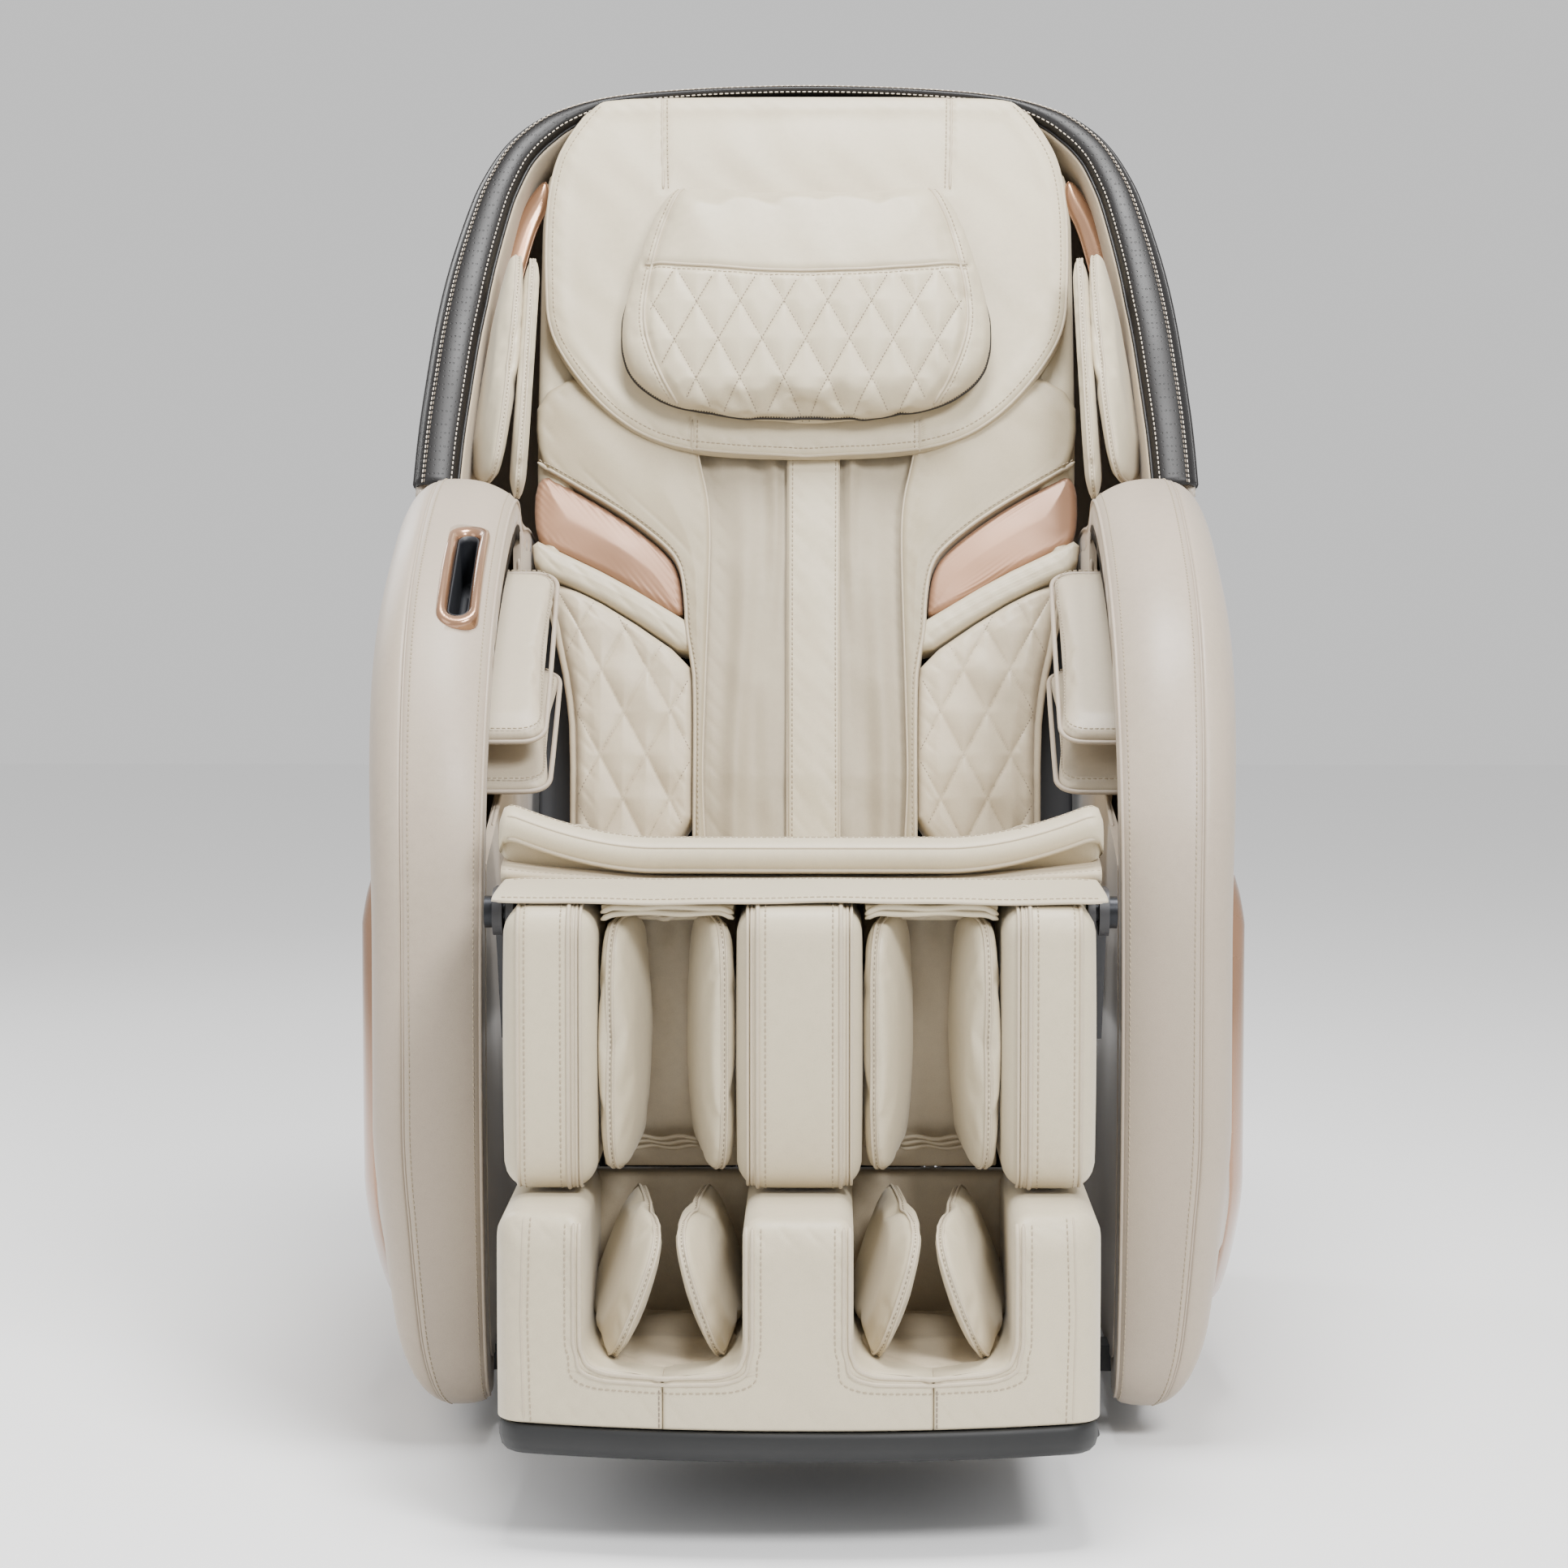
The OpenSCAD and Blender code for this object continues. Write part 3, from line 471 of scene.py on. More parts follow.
def stitch(P, body, mat="thread", pitch=5.0, length=3.5, r=0.65, closed=False, start=0.0):
    """dashes along world points (m), sizes in mm"""
    P = np.asarray(P, float)
    tot = np.linalg.norm(np.diff(P, axis=0), axis=1).sum()
    n = int(tot * 1000 / pitch)
    if n < 2:
        return
    Q = resample(P, n=n * 4 + 1, closed=False)
    T, N, Bn = frames(Q)
    k = 5
    a = np.linspace(0, 2 * np.pi, k, endpoint=False)
    circ = np.cos(a)[:, None], np.sin(a)[:, None]
    rings = [(-0.5, 0.4), (-0.32, 1.0), (0.32, 1.0), (0.5, 0.4)]
    out = []
    for i in range(2, len(Q) - 1, 4):
        c, t, nn, bb = Q[i], T[i], N[i], Bn[i]
        V = np.vstack([c + t * (s * length / 1000) + r / 1000 * q * (circ[0] * nn + circ[1] * bb) for s, q in rings])
        out.append(V)
    if not out:
        return
    F1 = [(g * k + q, g * k + (q + 1) % k, (g + 1) * k + (q + 1) % k, (g + 1) * k + q) for g in range(3) for q in range(k)]
    F1 += [tuple(range(k - 1, -1, -1)), tuple(3 * k + q for q in range(k))]
    V = np.vstack(out)
    F = [tuple(v + j * 4 * k for v in f) for j in range(len(out)) for f in F1]
    STITCH.setdefault((body, mat), []).append((V, F))


def flush():
    for store, word in ((TUBES, "piping"), (STITCH, "stitching")):
        for (body, mat), parts in store.items():
            V, F, o = [], [], 0
            for v, f in parts:
                V.append(v); F += [tuple(i + o for i in q) for q in f]; o += len(v)
            if body in SPANS:
                ob = link("%s_%s_%s" % (word, mat, body), np.vstack(V), F, mat, body, recalc=False, ride=False)
                SPANS[body](ob, mat)
            else:
                link("%s_%s_%s" % (word, mat, body), np.vstack(V), F, mat, body, recalc=False)


class Relief:
    """a padded form over an outline: x/u plane, front surface depth F, closed at the back"""

    def __init__(self, pts, F, thick, plane=bk, rnd=8.0, it=2, creases=(), quilt=None, edge=0.0, bulge=0.0, bw=40.0, closed_pts=None, slack=0.8, edge_mask=None):
        self.poly = chaikin(pts, it) if it else np.asarray(pts, float)
        self.F, self.thick, self.plane, self.rnd = F, thick, plane, rnd
        self.cre, self.quilt, self.bulge, self.bw, self.slack = creases, quilt, bulge, bw, slack
        self.edge_mask = edge_mask

    def depth(self, x, u):
        x = np.asarray(x, float); u = np.asarray(u, float)
        sh = x.shape
        P = np.stack([x.ravel(), u.ravel()], 1)
        d = seg_dist(P, self.poly, True)
        f = np.asarray(self.F(P[:, 0], P[:, 1]), float) * np.ones(len(P))
        dr = d
        if self.edge_mask is not None:
            dr = seg_dist(P, self.edge_mask)
            k = np.clip(d / 2.5, 0, 1)
            f = f + 2.5 * (1 - np.sqrt(np.clip(1 - (1 - k) ** 2, 0, 1)))
        k = np.clip(dr / self.rnd, 0, 1)
        f = f + self.rnd * (1 - np.sqrt(np.clip(1 - (1 - k) ** 2, 0, 1)))
        f = f - self.bulge * (1 - np.exp(-(d / self.bw) ** 2))
        a, b = P[:, 0], P[:, 1]
        f = f + self.slack * np.clip(d / 14, 0, 1) * (np.sin(0.051 * a + 0.9 * np.sin(0.023 * b + 1)) * np.sin(0.037 * b + 0.7 * np.sin(0.019 * a)) + 0.5 * np.sin(0.11 * a + 0.07 * b + np.sin(0.05 * b)))
        f = f + self.slack * 0.8 * np.exp(-((d - 11) / 8) ** 2) * np.maximum(0, np.sin(0.31 * a + 0.27 * b + 1.3 * np.sin(0.03 * b))) ** 2
        if self.quilt is not None:
            f = f + self.quilt(P[:, 0], P[:, 1], d)
        for line, dep, wid in self.cre:
            q = seg_dist(P, line)
            f = f + dep * np.exp(-(q / wid) ** 2) * np.clip(d / 2.0, 0, 1)
        return f.reshape(sh)

    def mesh(self, name, mat, body, nx=70, nu=70, k=0.55, tip=0.0, **kw):
        lo, hi = self.poly[:, 1].min(), self.poly[:, 1].max()
        if tip:
            # outlines that end in a point: the end rows keep this width, so no sliver is left there
            lo, hi = [next((e + g * t for t in (0.05, 0.1, 0.2, 0.4, 0.7, 1.0, 1.5, 2.0) if np.ptp(np.r_[rows_of(self.poly, np.array([e + g * t]))]) >= tip), e + g * 3.0) for e, g in ((lo, 1), (hi, -1))]
        us = lo + (hi - lo) * cl(nu, k)
        us[0] += 0.02; us[-1] -= 0.02
        L, R = rows_of(self.poly, us)
        s = cl(nx, k)
        X = L[:, None] + (R - L)[:, None] * s[None]
        U = np.repeat(us[:, None], nx, 1)
        D = self.depth(X, U)
        P = np.stack([X.ravel(), U.ravel()], 1)
        d = seg_dist(P, self.poly, True).reshape(X.shape)
        br = min(4.0, self.thick * 0.3)
        kk = np.clip(d / br, 0, 1)
        back = self.F(X, U) * np.ones_like(X) + self.thick - br * (1 - np.sqrt(np.clip(1 - (1 - kk) ** 2, 0, 1)))
        A = self.plane(X, U, D).reshape(-1, 3)
        B = self.plane(X, U, back).reshape(-1, 3)
        n, m = X.shape
        F = []
        for i in range(n - 1):
            for j in range(m - 1):
                a = i * m + j
                F.append((a, a + 1, a + m + 1, a + m))
                b = n * m + a
                F.append((b, b + m, b + m + 1, b + 1))
        ring = [j for j in range(m)] + [i * m + m - 1 for i in range(1, n)] + [(n - 1) * m + j for j in range(m - 2, -1, -1)] + [i * m for i in range(n - 2, 0, -1)]
        for a, b in zip(ring, ring[1:] + ring[:1]):
            F.append((a, a + n * m, b + n * m, b))
        self.ob = link(name, np.vstack([A, B]), F, mat, body, weld=5e-6 if tip else 2e-5, **kw)
        return self.ob

    def on(self, pts, lift=0.0, step=2.5, closed=False):
        p = resample(pts, step, closed=closed)
        if closed:
            p = np.vstack([p, p[:1]])
        return self.plane(p[:, 0], p[:, 1], self.depth(p[:, 0], p[:, 1]) - lift)

    def inset(self, d):
        """the outline moved inwards by d"""
        p = resample(self.poly, 4.0, closed=True)
        t = np.roll(p, -1, 0) - np.roll(p, 1, 0)
        t /= np.maximum(np.linalg.norm(t, axis=1, keepdims=True), 1e-9)
        nrm = np.stack([-t[:, 1], t[:, 0]], 1)
        area = 0.5 * np.sum(p[:, 0] * np.roll(p[:, 1], -1) - np.roll(p[:, 0], -1) * p[:, 1])
        q = p + nrm * d * (1 if area > 0 else -1)
        dd = seg_dist(q, self.poly, True)
        return q[dd > d * 0.85]


def both(fn):
    for s in (1, -1):
        fn(s, "left" if s > 0 else "right")


def mir(pts, s):
    return [(x * s, u) for x, u in pts]


def loft(rings, closed_ring=False, cap=True):
    """rings (n, m, 3) -> verts, faces"""
    R = np.asarray(rings); n, m = R.shape[:2]
    F = []
    for i in range(n - 1):
        for j in range(m if closed_ring else m - 1):
            k = (j + 1) % m
            F.append((i * m + j, i * m + k, (i + 1) * m + k, (i + 1) * m + j))
    if cap and closed_ring:
        F.append(tuple(range(m - 1, -1, -1))); F.append(tuple((n - 1) * m + j for j in range(m)))
    return R.reshape(-1, 3), F


def rbox(lo, hi, r, n=10, bulge=(0, 0, 0), fn=None):
    """rounded box as verts, faces; lo, hi in mm; bulge is how far each pair of faces crowns"""
    lo, hi = np.asarray(lo, float), np.asarray(hi, float)
    size = hi - lo
    V, F, o = [], [], 0
    g = cl(n + 1, 0.5) * 2 - 1
    for ax in range(3):
        for sg in (-1, 1):
            a, b = np.meshgrid(g, g, indexing="ij")
            P = np.zeros((n + 1, n + 1, 3))
            P[..., ax] = sg; P[..., (ax + 1) % 3] = a; P[..., (ax + 2) % 3] = b
            P = P.reshape(-1, 3)
            half = size / 2
            q = P * half
            inner = np.clip(q, -(half - r), half - r)
            d = q - inner
            ln = np.linalg.norm(d, axis=1, keepdims=True)
            q = inner + d / np.maximum(ln, 1e-9) * np.minimum(ln, r)
            s = q / half
            for k2 in range(3):
                o1, o2 = (k2 + 1) % 3, (k2 + 2) % 3
                q[:, k2] += bulge[k2] * s[:, k2] * (1 - s[:, o1] ** 2) * (1 - s[:, o2] ** 2)
            q = q + (lo + hi) / 2
            V.append(q)
            for i in range(n):
                for j in range(n):
                    c = o + i * (n + 1) + j
                    F.append((c, c + 1, c + n + 2, c + n + 1))
            o += (n + 1) ** 2
    V = np.vstack(V)
    if fn is not None:
        V = fn(V)
    return V, F


def soft_box(name, lo, hi, r, mat, body, n=14, bulge=(0, 0, 0), fn=None, plane=None, **kw):
    V, F = rbox(lo, hi, r, n, bulge, fn)
    W = plane(V[:, 0], V[:, 1], V[:, 2]) if plane else wd(V[:, 0], V[:, 1], V[:, 2])
    return link(name, W, F, mat, body, weld=1e-5, **kw)


def inflate(ob, pressure=4.0, cap=8.0, voxel=5.0, sub=1, frames_n=20, stiff=15.0):
    """cloth under pressure; the result is applied"""
    mod(ob, "REMESH", mode="VOXEL", voxel_size=voxel / 1000.0)
    apply_mods(ob)
    mod(ob, "SMOOTH", iterations=3, factor=0.5)
    apply_mods(ob)
    n = len(ob.data.vertices)
    P0 = np.empty(n * 3); ob.data.vertices.foreach_get("co", P0); P0 = P0.reshape(-1, 3)
    md = ob.modifiers.new("cloth", "CLOTH")
    st = md.settings
    st.use_pressure = True
    st.uniform_pressure_force = pressure
    st.mass = 0.4
    st.tension_stiffness = st.compression_stiffness = stiff
    st.shear_stiffness = 5
    st.bending_stiffness = 1.5
    st.quality = 4
    st.effector_weights.gravity = 0.0
    md.collision_settings.use_collision = False
    md.point_cache.frame_start, md.point_cache.frame_end = 1, frames_n + 1
    for f in range(1, frames_n + 1):
        scene.frame_set(f)
    dg = bpy.context.evaluated_depsgraph_get()
    ev = ob.evaluated_get(dg)
    P = np.empty(n * 3); ev.data.vertices.foreach_get("co", P); P = P.reshape(-1, 3)
    ob.modifiers.clear()
    scene.frame_set(1)
    D = P - P0
    D -= D.mean(0)
    ln = np.linalg.norm(D, axis=1, keepdims=True)
    D *= np.minimum(1, (cap / 1000.0) / np.maximum(ln, 1e-9))
    D[~np.isfinite(D)] = 0
    ob.data.vertices.foreach_set("co", (P0 + D).ravel())
    if sub:
        mod(ob, "SUBSURF", levels=sub, render_levels=sub)
        apply_mods(ob)
    for p in ob.data.polygons:
        p.use_smooth = True
    return ob


def getco(ob):
    n = len(ob.data.vertices)
    P = np.empty(n * 3); ob.data.vertices.foreach_get("co", P)
    return P.reshape(-1, 3)


def setco(ob, P):
    ob.data.vertices.foreach_set("co", np.ascontiguousarray(P, float).ravel()); ob.data.update()


def to_bk(P):
    """world metres -> back frame mm (x, u, v)"""
    y = P[:, 1] * 1000 - P1Y - OY; z = P[:, 2] * 1000 - P1Z
    return np.stack([P[:, 0] * 1000, SB * y + CB * z, CB * y - SB * z], 1)


def tree(ob):
    me = ob.data
    return BVHTree.FromPolygons([v.co.copy() for v in me.vertices], [tuple(p.vertices) for p in me.polygons])


def cast(tr, P, d, lift=0.3):
    """world points dropped along d onto a surface"""
    out = []
    d = Vector(d).normalized()
    for p in P:
        h = tr.ray_cast(Vector(p), d)
        if h[0] is not None:
            nn = h[1] if h[1].dot(d) < 0 else -h[1]
            out.append(np.array(h[0] + nn * (lift / 1000.0)))
        elif out:
            pass
    return np.array(out)


def piped(P2, plane_fn, tr, d, r, body, closed=False, mat="piping", lift=0.3):
    W = cast(tr, plane_fn(P2), d, lift)
    if len(W) > 3:
        tube(W, r, body, mat, closed=closed)


DB = Vector((0, CB, -SB))          # rearwards through the back

# ================================================================== back: shell, rim, liner
RIM = [(366, 404.5), (364, 467), (359, 531), (354, 587), (346, 643), (336, 690), (325, 734), (318, 754), (304, 785),
       (289, 807), (270, 825), (252, 837), (211, 851), (157, 859.5), (76, 865), (0, 867)]


def mirrored(q):
    return q + [(-x, u) for x, u in q[-2::-1]]


def rim_v(u):
    return -201.5 + (u - 404.5) * 0.2275


def rear_v(u):
    return 240 - 46 * (np.maximum(0, u - 560) / 320) ** 2 - 20 * ((u - 560) / 320) ** 2


def shell_ring(frac, width, drop, n=150):
    line = chaikin(mirrored([(366, 330)] + RIM), 2, closed=False)
    u = 404.5 + (line[:, 1] - 404.5) * (462.5 - drop) / 462.5
    v = rim_v(u) * (1 - frac) + rear_v(u) * frac
    P = np.stack([line[:, 0] * width, u, v], 1)
    h = len(P) // 2
    R = np.hypot(P[:, 1], P[:, 2])
    k = next(i for i in range(len(P)) if R[i] >= 443.3)
    if k:
        t = (443.3 - R[k - 1]) / (R[k] - R[k - 1])
        s = P[k - 1] + t * (P[k] - P[k - 1])
        e = s * [-1, 1, 1]
        P = np.vstack([s, P[k:len(P) - k], e])
    return resample(P, n=n)


keys = [(0, 1, 0), (0.2, 1.004, 0), (0.42, 0.995, 4), (0.62, 0.97, 12), (0.8, 0.925, 30), (0.92, 0.84, 58), (0.985, 0.68, 100), (1, 0.4, 170)]
kt = np.linspace(0, 1, len(keys))
ks = []
for t in np.linspace(0, 1, 40):                 # smooth interpolation of the ring table
    row = []
    for c in range(3):
        ys = [k[c] for k in keys]
        i = min(int(t * (len(keys) - 1)), len(keys) - 2)
        f = t * (len(keys) - 1) - i
        p0, p1, p2, p3 = ys[max(0, i - 1)], ys[i], ys[i + 1], ys[min(len(keys) - 1, i + 2)]
        row.append(0.5 * ((2 * p1) + (-p0 + p2) * f + (2 * p0 - 5 * p1 + 4 * p2 - p3) * f * f + (-p0 + 3 * p1 - 3 * p2 + p3) * f ** 3))
    ks.append((min(1, row[0]), row[1], row[2]))
ks += [(1, 0.2, 205), (1, 0.0, 212)]
rings = [shell_ring(*k) for k in ks]
V, F = loft([bk(r[:, 0], r[:, 1], r[:, 2]) for r in rings])
shell = link("back_shell_skin", V, F, "shell", "back", weld=2e-4, ride=False)
mod(shell, "SOLIDIFY", thickness=0.007, offset=-1.0, use_even_offset=False)
apply_mods(shell)
register(shell, "back", "back_shell")

rim_line = chaikin(mirrored(RIM), 3, closed=False)
rim_line = resample(rim_line, n=190)
tg = np.gradient(rim_line, axis=0); tg /= np.linalg.norm(tg, axis=1, keepdims=True)
rim_n = np.stack([-tg[:, 1], tg[:, 0]], 1)       # inwards
half = len(rim_line) // 2
idx = np.minimum(np.arange(len(rim_line)), len(rim_line) - 1 - np.arange(len(rim_line)))
arc_u = rim_line[:, 1]
rim_w = np.interp(np.abs(rim_line[:, 0]), [0, 90, 160, 205, 235, 262, 300, 330, 350, 362, 366], [9, 9, 10, 12, 19, 26, 31, 37, 41, 40, 39])


def rim_pts(c, dv):
    """points across the rim band: share c of its width, dv rearwards from the rim plane"""
    q = rim_line + rim_n * (rim_w * c)[:, None]
    return bk(q[:, 0], q[:, 1], rim_v(q[:, 1]) + dv)


prof = [(0.0, 26), (-0.025, 14), (-0.03, 4), (0.0, -3.5), (0.1, -8.5), (0.28, -11), (0.5, -11.5), (0.72, -10), (0.88, -6.5), (0.97, -1), (1.0, 7), (0.97, 16)]
prof = chaikin(prof, 2, closed=False)
V, F = loft([rim_pts(c, dv) for c, dv in prof])
rim = link("rim_band", V, F, "grey", "back", ride=False)
mod(rim, "SOLIDIFY", thickness=0.003, offset=-1.0)
apply_mods(rim)
register(rim, "back", "shell_rim_band")
for c, dv in ((0.17, -10.6), (0.86, -8.2)):
    stitch(rim_pts(c, dv), "back", "threadlight", pitch=5.5, length=3.6, r=0.6)
stitch(rim_pts(0.22, -11.2), "back", "threaddark", pitch=5.5, length=3.6, r=0.5)
tube(rim_pts(-0.035, 3), 2.2, "back", "grey")
tube(rim_pts(1.0, 3), 1.8, "back", "grey")

lp = chaikin([(1.0, 8), (1.03, 4), (1.08, 8), (1.12, 20), (1.12, 44), (1.12, 80), (1.2, 125)], 2, closed=False)


def liner_pts(c, dv):
    wdt = np.full(len(rim_w), 30.0)
    q = rim_line + rim_n * (rim_w + (c - 1) * wdt)[:, None]
    return bk(q[:, 0], q[:, 1], np.minimum(rim_v(q[:, 1]) + dv, -20))


V, F = loft([liner_pts(c, dv) for c, dv in lp])
liner = link("shell_liner", V, F, "liner", "back", ride=False)
mod(liner, "SOLIDIFY", thickness=0.003, offset=0.0)
apply_mods(liner)
register(liner, "back")



def accents(s, side):
    pts = mir([(256, 770), (264, 772), (285, 738), (299, 705), (308, 666), (313, 618), (314, 570), (292, 570), (290, 618), (283, 653), (276, 687), (267, 722), (254, 748)], s)
    r = Relief(pts, lambda x, u: -88 + 0 * x, 9, rnd=4, it=3, bulge=3, bw=10, slack=0.0)
    ob = r.mesh("accent_panel_" + side, "rose", "back", nx=14, nu=50)
    if s > 0:
        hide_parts("shell_accent_panels")
    tube(r.on(r.inset(0.5), -1, closed=True), 0.8, "back", "rose", closed=True)


both(accents)


# ================================================================== back: cushions
def f_back(x, u):
    """front of the back cushion: lumbar hump below, flatter above"""
    return np.interp(u, [86, 150, 240, 330, 400, 450, 500, 560, 800], [-108, -117, -119, -117, -112, -107, -103, -100.5, -99])


INN = [(92, 66), (96, 140), (95, 195), (93, 276), (91, 358), (91, 400), (94, 432), (101, 462), (106, 490), (106, 560)]
PIPE = [(106, 66), (106, 234), (110, 264), (115, 290), (116, 320), (121, 358), (139, 381), (180, 414), (226, 443), (262, 465), (262, 560)]
GOLD_LO = [(112, 300), (117, 305), (183, 348), (238, 376), (262, 388)]
ROLL_LO = [(106, 262), (110, 264), (180, 315), (235, 343), (250, 350)]


def panels(s, side):
    A = Relief(mir(INN + PIPE[::-1], s), lambda x, u: f_back(x, u) - 1.5, 45, rnd=7, it=2, bulge=4, bw=26)
    # the shoulder cushion takes the darker cream copy: painted shade for the head pad's shadow above it
    A.mesh("shoulder_cushion_" + side, "cream_back", "back", nx=60, nu=110, repl=side + "_back_bolster", pad=0.7)
    pl = [(x * s, u) for x, u in chaikin(PIPE[:-1], 2, closed=False)]
    inner = [((x - (5.0 if x < 119 else 3.5)) * s, u + (0 if x < 119 else 4.0)) for x, u in chaikin(PIPE[:-1], 2, closed=False)]
    tube(A.on(np.array(pl) + [(-2.2 * s, 0.8)], -1.0), 2.1, "back")
    stitch(A.on(inner, 0.2), "back")
    il = [((x + 1.5) * s, u) for x, u in chaikin(INN[:-1], 2, closed=False)]
    tube(A.on(il, -1.2), 1.5, "back")
    # satin inlay
    g = [(117, 303), (183, 347), (238, 375), (262, 387), (262, 462), (226, 441), (180, 412), (140, 380), (122, 358), (117, 322)]

    def pucker(x, u, d):
        return 1.1 * np.exp(-d / 7.0) * np.sin((x * 0.9 + u * 0.7) * 0.55) ** 2 + 0.8 * np.sin(x * 0.06 * s + u * 0.035) * np.clip(d / 20, 0, 1)
    G = Relief(mir(g, s), lambda x, u: f_back(x, u) + 6.0, 30, rnd=7, it=2, bulge=5, bw=22, quilt=pucker, slack=0.0)
    G.mesh("satin_inlay_" + side, "satin", "back", nx=60, nu=60, tip=1.2, pad=0.5)
    # rolled strip below it
    r = [(103, 261), (180, 315), (235, 344), (260, 355), (264, 388), (238, 374.5), (183, 346.5), (117, 304.5), (103, 296)]
    R = Relief(mir(r, s), lambda x, u: f_back(x, u) + 2.0, 34, rnd=7, it=1, bulge=2.5, bw=14)
    R.mesh("roll_strip_" + side, "cream", "back", nx=50, nu=60, tip=1.2, pad=0.8)
    # quilted side panel
    q = [(106, 67), (106, 234), (109, 262), (180, 313), (232, 341), (247, 346), (235, 290), (222, 240), (216, 190), (216, 67)]
    px, pu = 22.0, 42.0

    def quilt(x, u, d):
        a = (x * s - 106) / px / 2 + u / pu / 2
        b = (x * s - 106) / px / 2 - u / pu / 2
        m = np.minimum(np.abs(np.sin(np.pi * a)), np.abs(np.sin(np.pi * b)))
        return -4.2 * np.clip(d / 18, 0, 1) * m ** 0.6 + 0.7 * np.sin(u * 0.11 + x * 0.05) * np.clip(d / 30, 0, 1)
    Q = Relief(mir(q, s), lambda x, u: f_back(x, u) + 3.5 + 7 * np.clip((np.abs(x) - 205) / 30, 0, 1) ** 2, 40, rnd=9, it=1, quilt=quilt, bulge=0)
    Q.mesh("quilt_panel_" + side, "cream_lo", "back", tip=1.2, nx=100, nu=150, pad=0.6)
    # the diamond stitching follows the same lattice
    poly = Q.poly
    from_x = 106.0
    for fam in (1, -1):
        for kk in range(-12, 18):
            line = []
            for xx in np.linspace(106.5, 244, 60):
                c = (xx - from_x) / px / 2
                uu = (kk - c) * 2 * pu * fam
                line.append((xx, uu))
            seg = []
            L_, R_ = None, None
            for xx, uu in line:
                ok = False
                if poly[:, 1].min() + 2 < uu < poly[:, 1].max() - 2:
                    l, r_ = rows_of(poly, [uu])
                    ok = l[0] + 2 < xx * s < r_[0] - 2
                if ok:
                    seg.append((xx * s, uu))
            if len(seg) > 3:
                stitch(Q.on(seg, 0.1, step=2.0), "back", "threaddark", pitch=3.6, length=2.0, r=0.5)
    # side gusset and its double welt
    e = [(216, 70), (216, 190), (222, 240), (235, 290), (247, 345)]
    e = [(x * s, u) for x, u in chaikin(e, 2, closed=False)]
    tube(Q.on(e, -5.0), 2.4, "back")
    e2 = [(x + 3.5 * s, u) for x, u in e]
    tube(bk(np.array(e2)[:, 0], np.array(e2)[:, 1], f_back(0, np.array(e2)[:, 1]) + 26), 2.2, "back")
    gp = [(208, 67), (210, 190), (216, 240), (228, 292), (236, 344), (244, 340), (240, 290), (229, 240), (223, 190), (222, 67)]
    Gs = Relief(mir(gp, s), lambda x, u: f_back(x, u) + 14, 56, rnd=5, it=1)
    Gs.mesh("side_gusset_" + side, "cream_lo", "back", nx=10, nu=50)
    # wing of plain leather up beside the head
    w = [(228, 352), (255, 352), (262, 470), (262, 640), (262, 772), (246, 788), (220, 792), (220, 560)]
    W = Relief(mir(w, s), lambda x, u: f_back(x, u) + 9, 46, rnd=12, it=2, bulge=3, bw=20)
    W.mesh("head_side_pad_" + side, "cream", "back", nx=26, nu=90, pad=0.6)


both(panels)

# loose cover over the massage track, with soft folds and a stitched strip
CI = [(-96, 66), (-100, 140), (-99, 195), (-97, 276), (-95, 358), (-95, 400), (-98, 432), (-105, 462), (-110, 490), (-110, 520)]
cpts = CI + [(-x, u) for x, u in CI[::-1]]


def folds(x, u, d):
    w = np.clip((np.abs(x - 8) - 23) / 12, 0, 1) * np.clip(d / 10, 0, 1)
    g = 12.0 * np.exp(-((np.abs(x - 4) - 66 - 4 * np.sin(u * 0.012)) / 11) ** 2) * (0.55 + 0.45 * np.sin(u * 0.009 + 0.6 + 0.4 * np.sign(x)))
    g2 = 8.5 * np.exp(-((np.abs(x - 6) - 40 + 5 * np.sin(u * 0.017 + 1)) / 8) ** 2) * np.clip((u - 250) / 200, 0.15, 1)
    return w * (-(g + g2) * 0.9 + 1.6 * np.sin(x * 0.11 + 0.012 * u)) + np.clip((u - 455) / 30, 0, 1) * 3.0 * np.abs(np.sin(x * 0.12 + 0.5)) * w


C = Relief(cpts, lambda x, u: f_back(x, u) + 16.0, 6.5, rnd=5, it=1, quilt=folds)
C.mesh("track_cover", "fabric", "back", nx=150, nu=150, k=0.1, repl="back_center_cover")
strip = [(-16, 67), (-17, 300), (-18, 510), (33, 510), (33, 300), (32, 67)]
S = Relief(strip, lambda x, u: f_back(x, u) + 5.0, 6, rnd=3.5, it=0, bulge=0.8, bw=12)
S.mesh("track_strip", "cream", "back", nx=24, nu=120)
for xx, kx in ((-12, 1), (29, 1)):
    line = [(xx, 70), (xx - 0.5, 300), (xx - 1 if xx < 0 else xx, 508)]
    stitch(S.on(line, 0.1), "back")
for xx in (-16.5, 32.5):
    tube(S.on([(xx, 70), (xx - 0.4, 300), (xx - 0.8, 508)], -3.0), 1.3, "back")

def side_lining(s, side):
    lo, hi = sorted((205 * s, 256 * s))
    soft_box("back_side_lining_" + side, (lo, 70, -42), (hi, 345, -36), 2.5, "dark", "back", n=8, plane=bk)


both(side_lining)

# ================================================================== head pad and pillow
PAD = [(200, 852), (211, 846), (223, 830), (237, 808), (250, 780), (257, 736), (258, 690), (257, 655), (254, 602), (231, 559), (194, 514), (151, 484), (98, 471.5), (0, 467)]
pad_poly = PAD + [(-x, u) for x, u in PAD[-2::-1]]
vert = []
for s in (1, -1):
    vert.append(([(143 * s, 851), (142 * s, 790), (140 * s, 745)], 2.6, 2.2))
    vert.append(([(110 * s, 508), (110 * s, 470)], 2.2, 2.0))


def pad_f(x, u):
    return -117.5 + 3.0 * np.clip((u - 770) / 60, 0, 1) ** 2 + 3.0 * (np.abs(x) / 250) ** 2


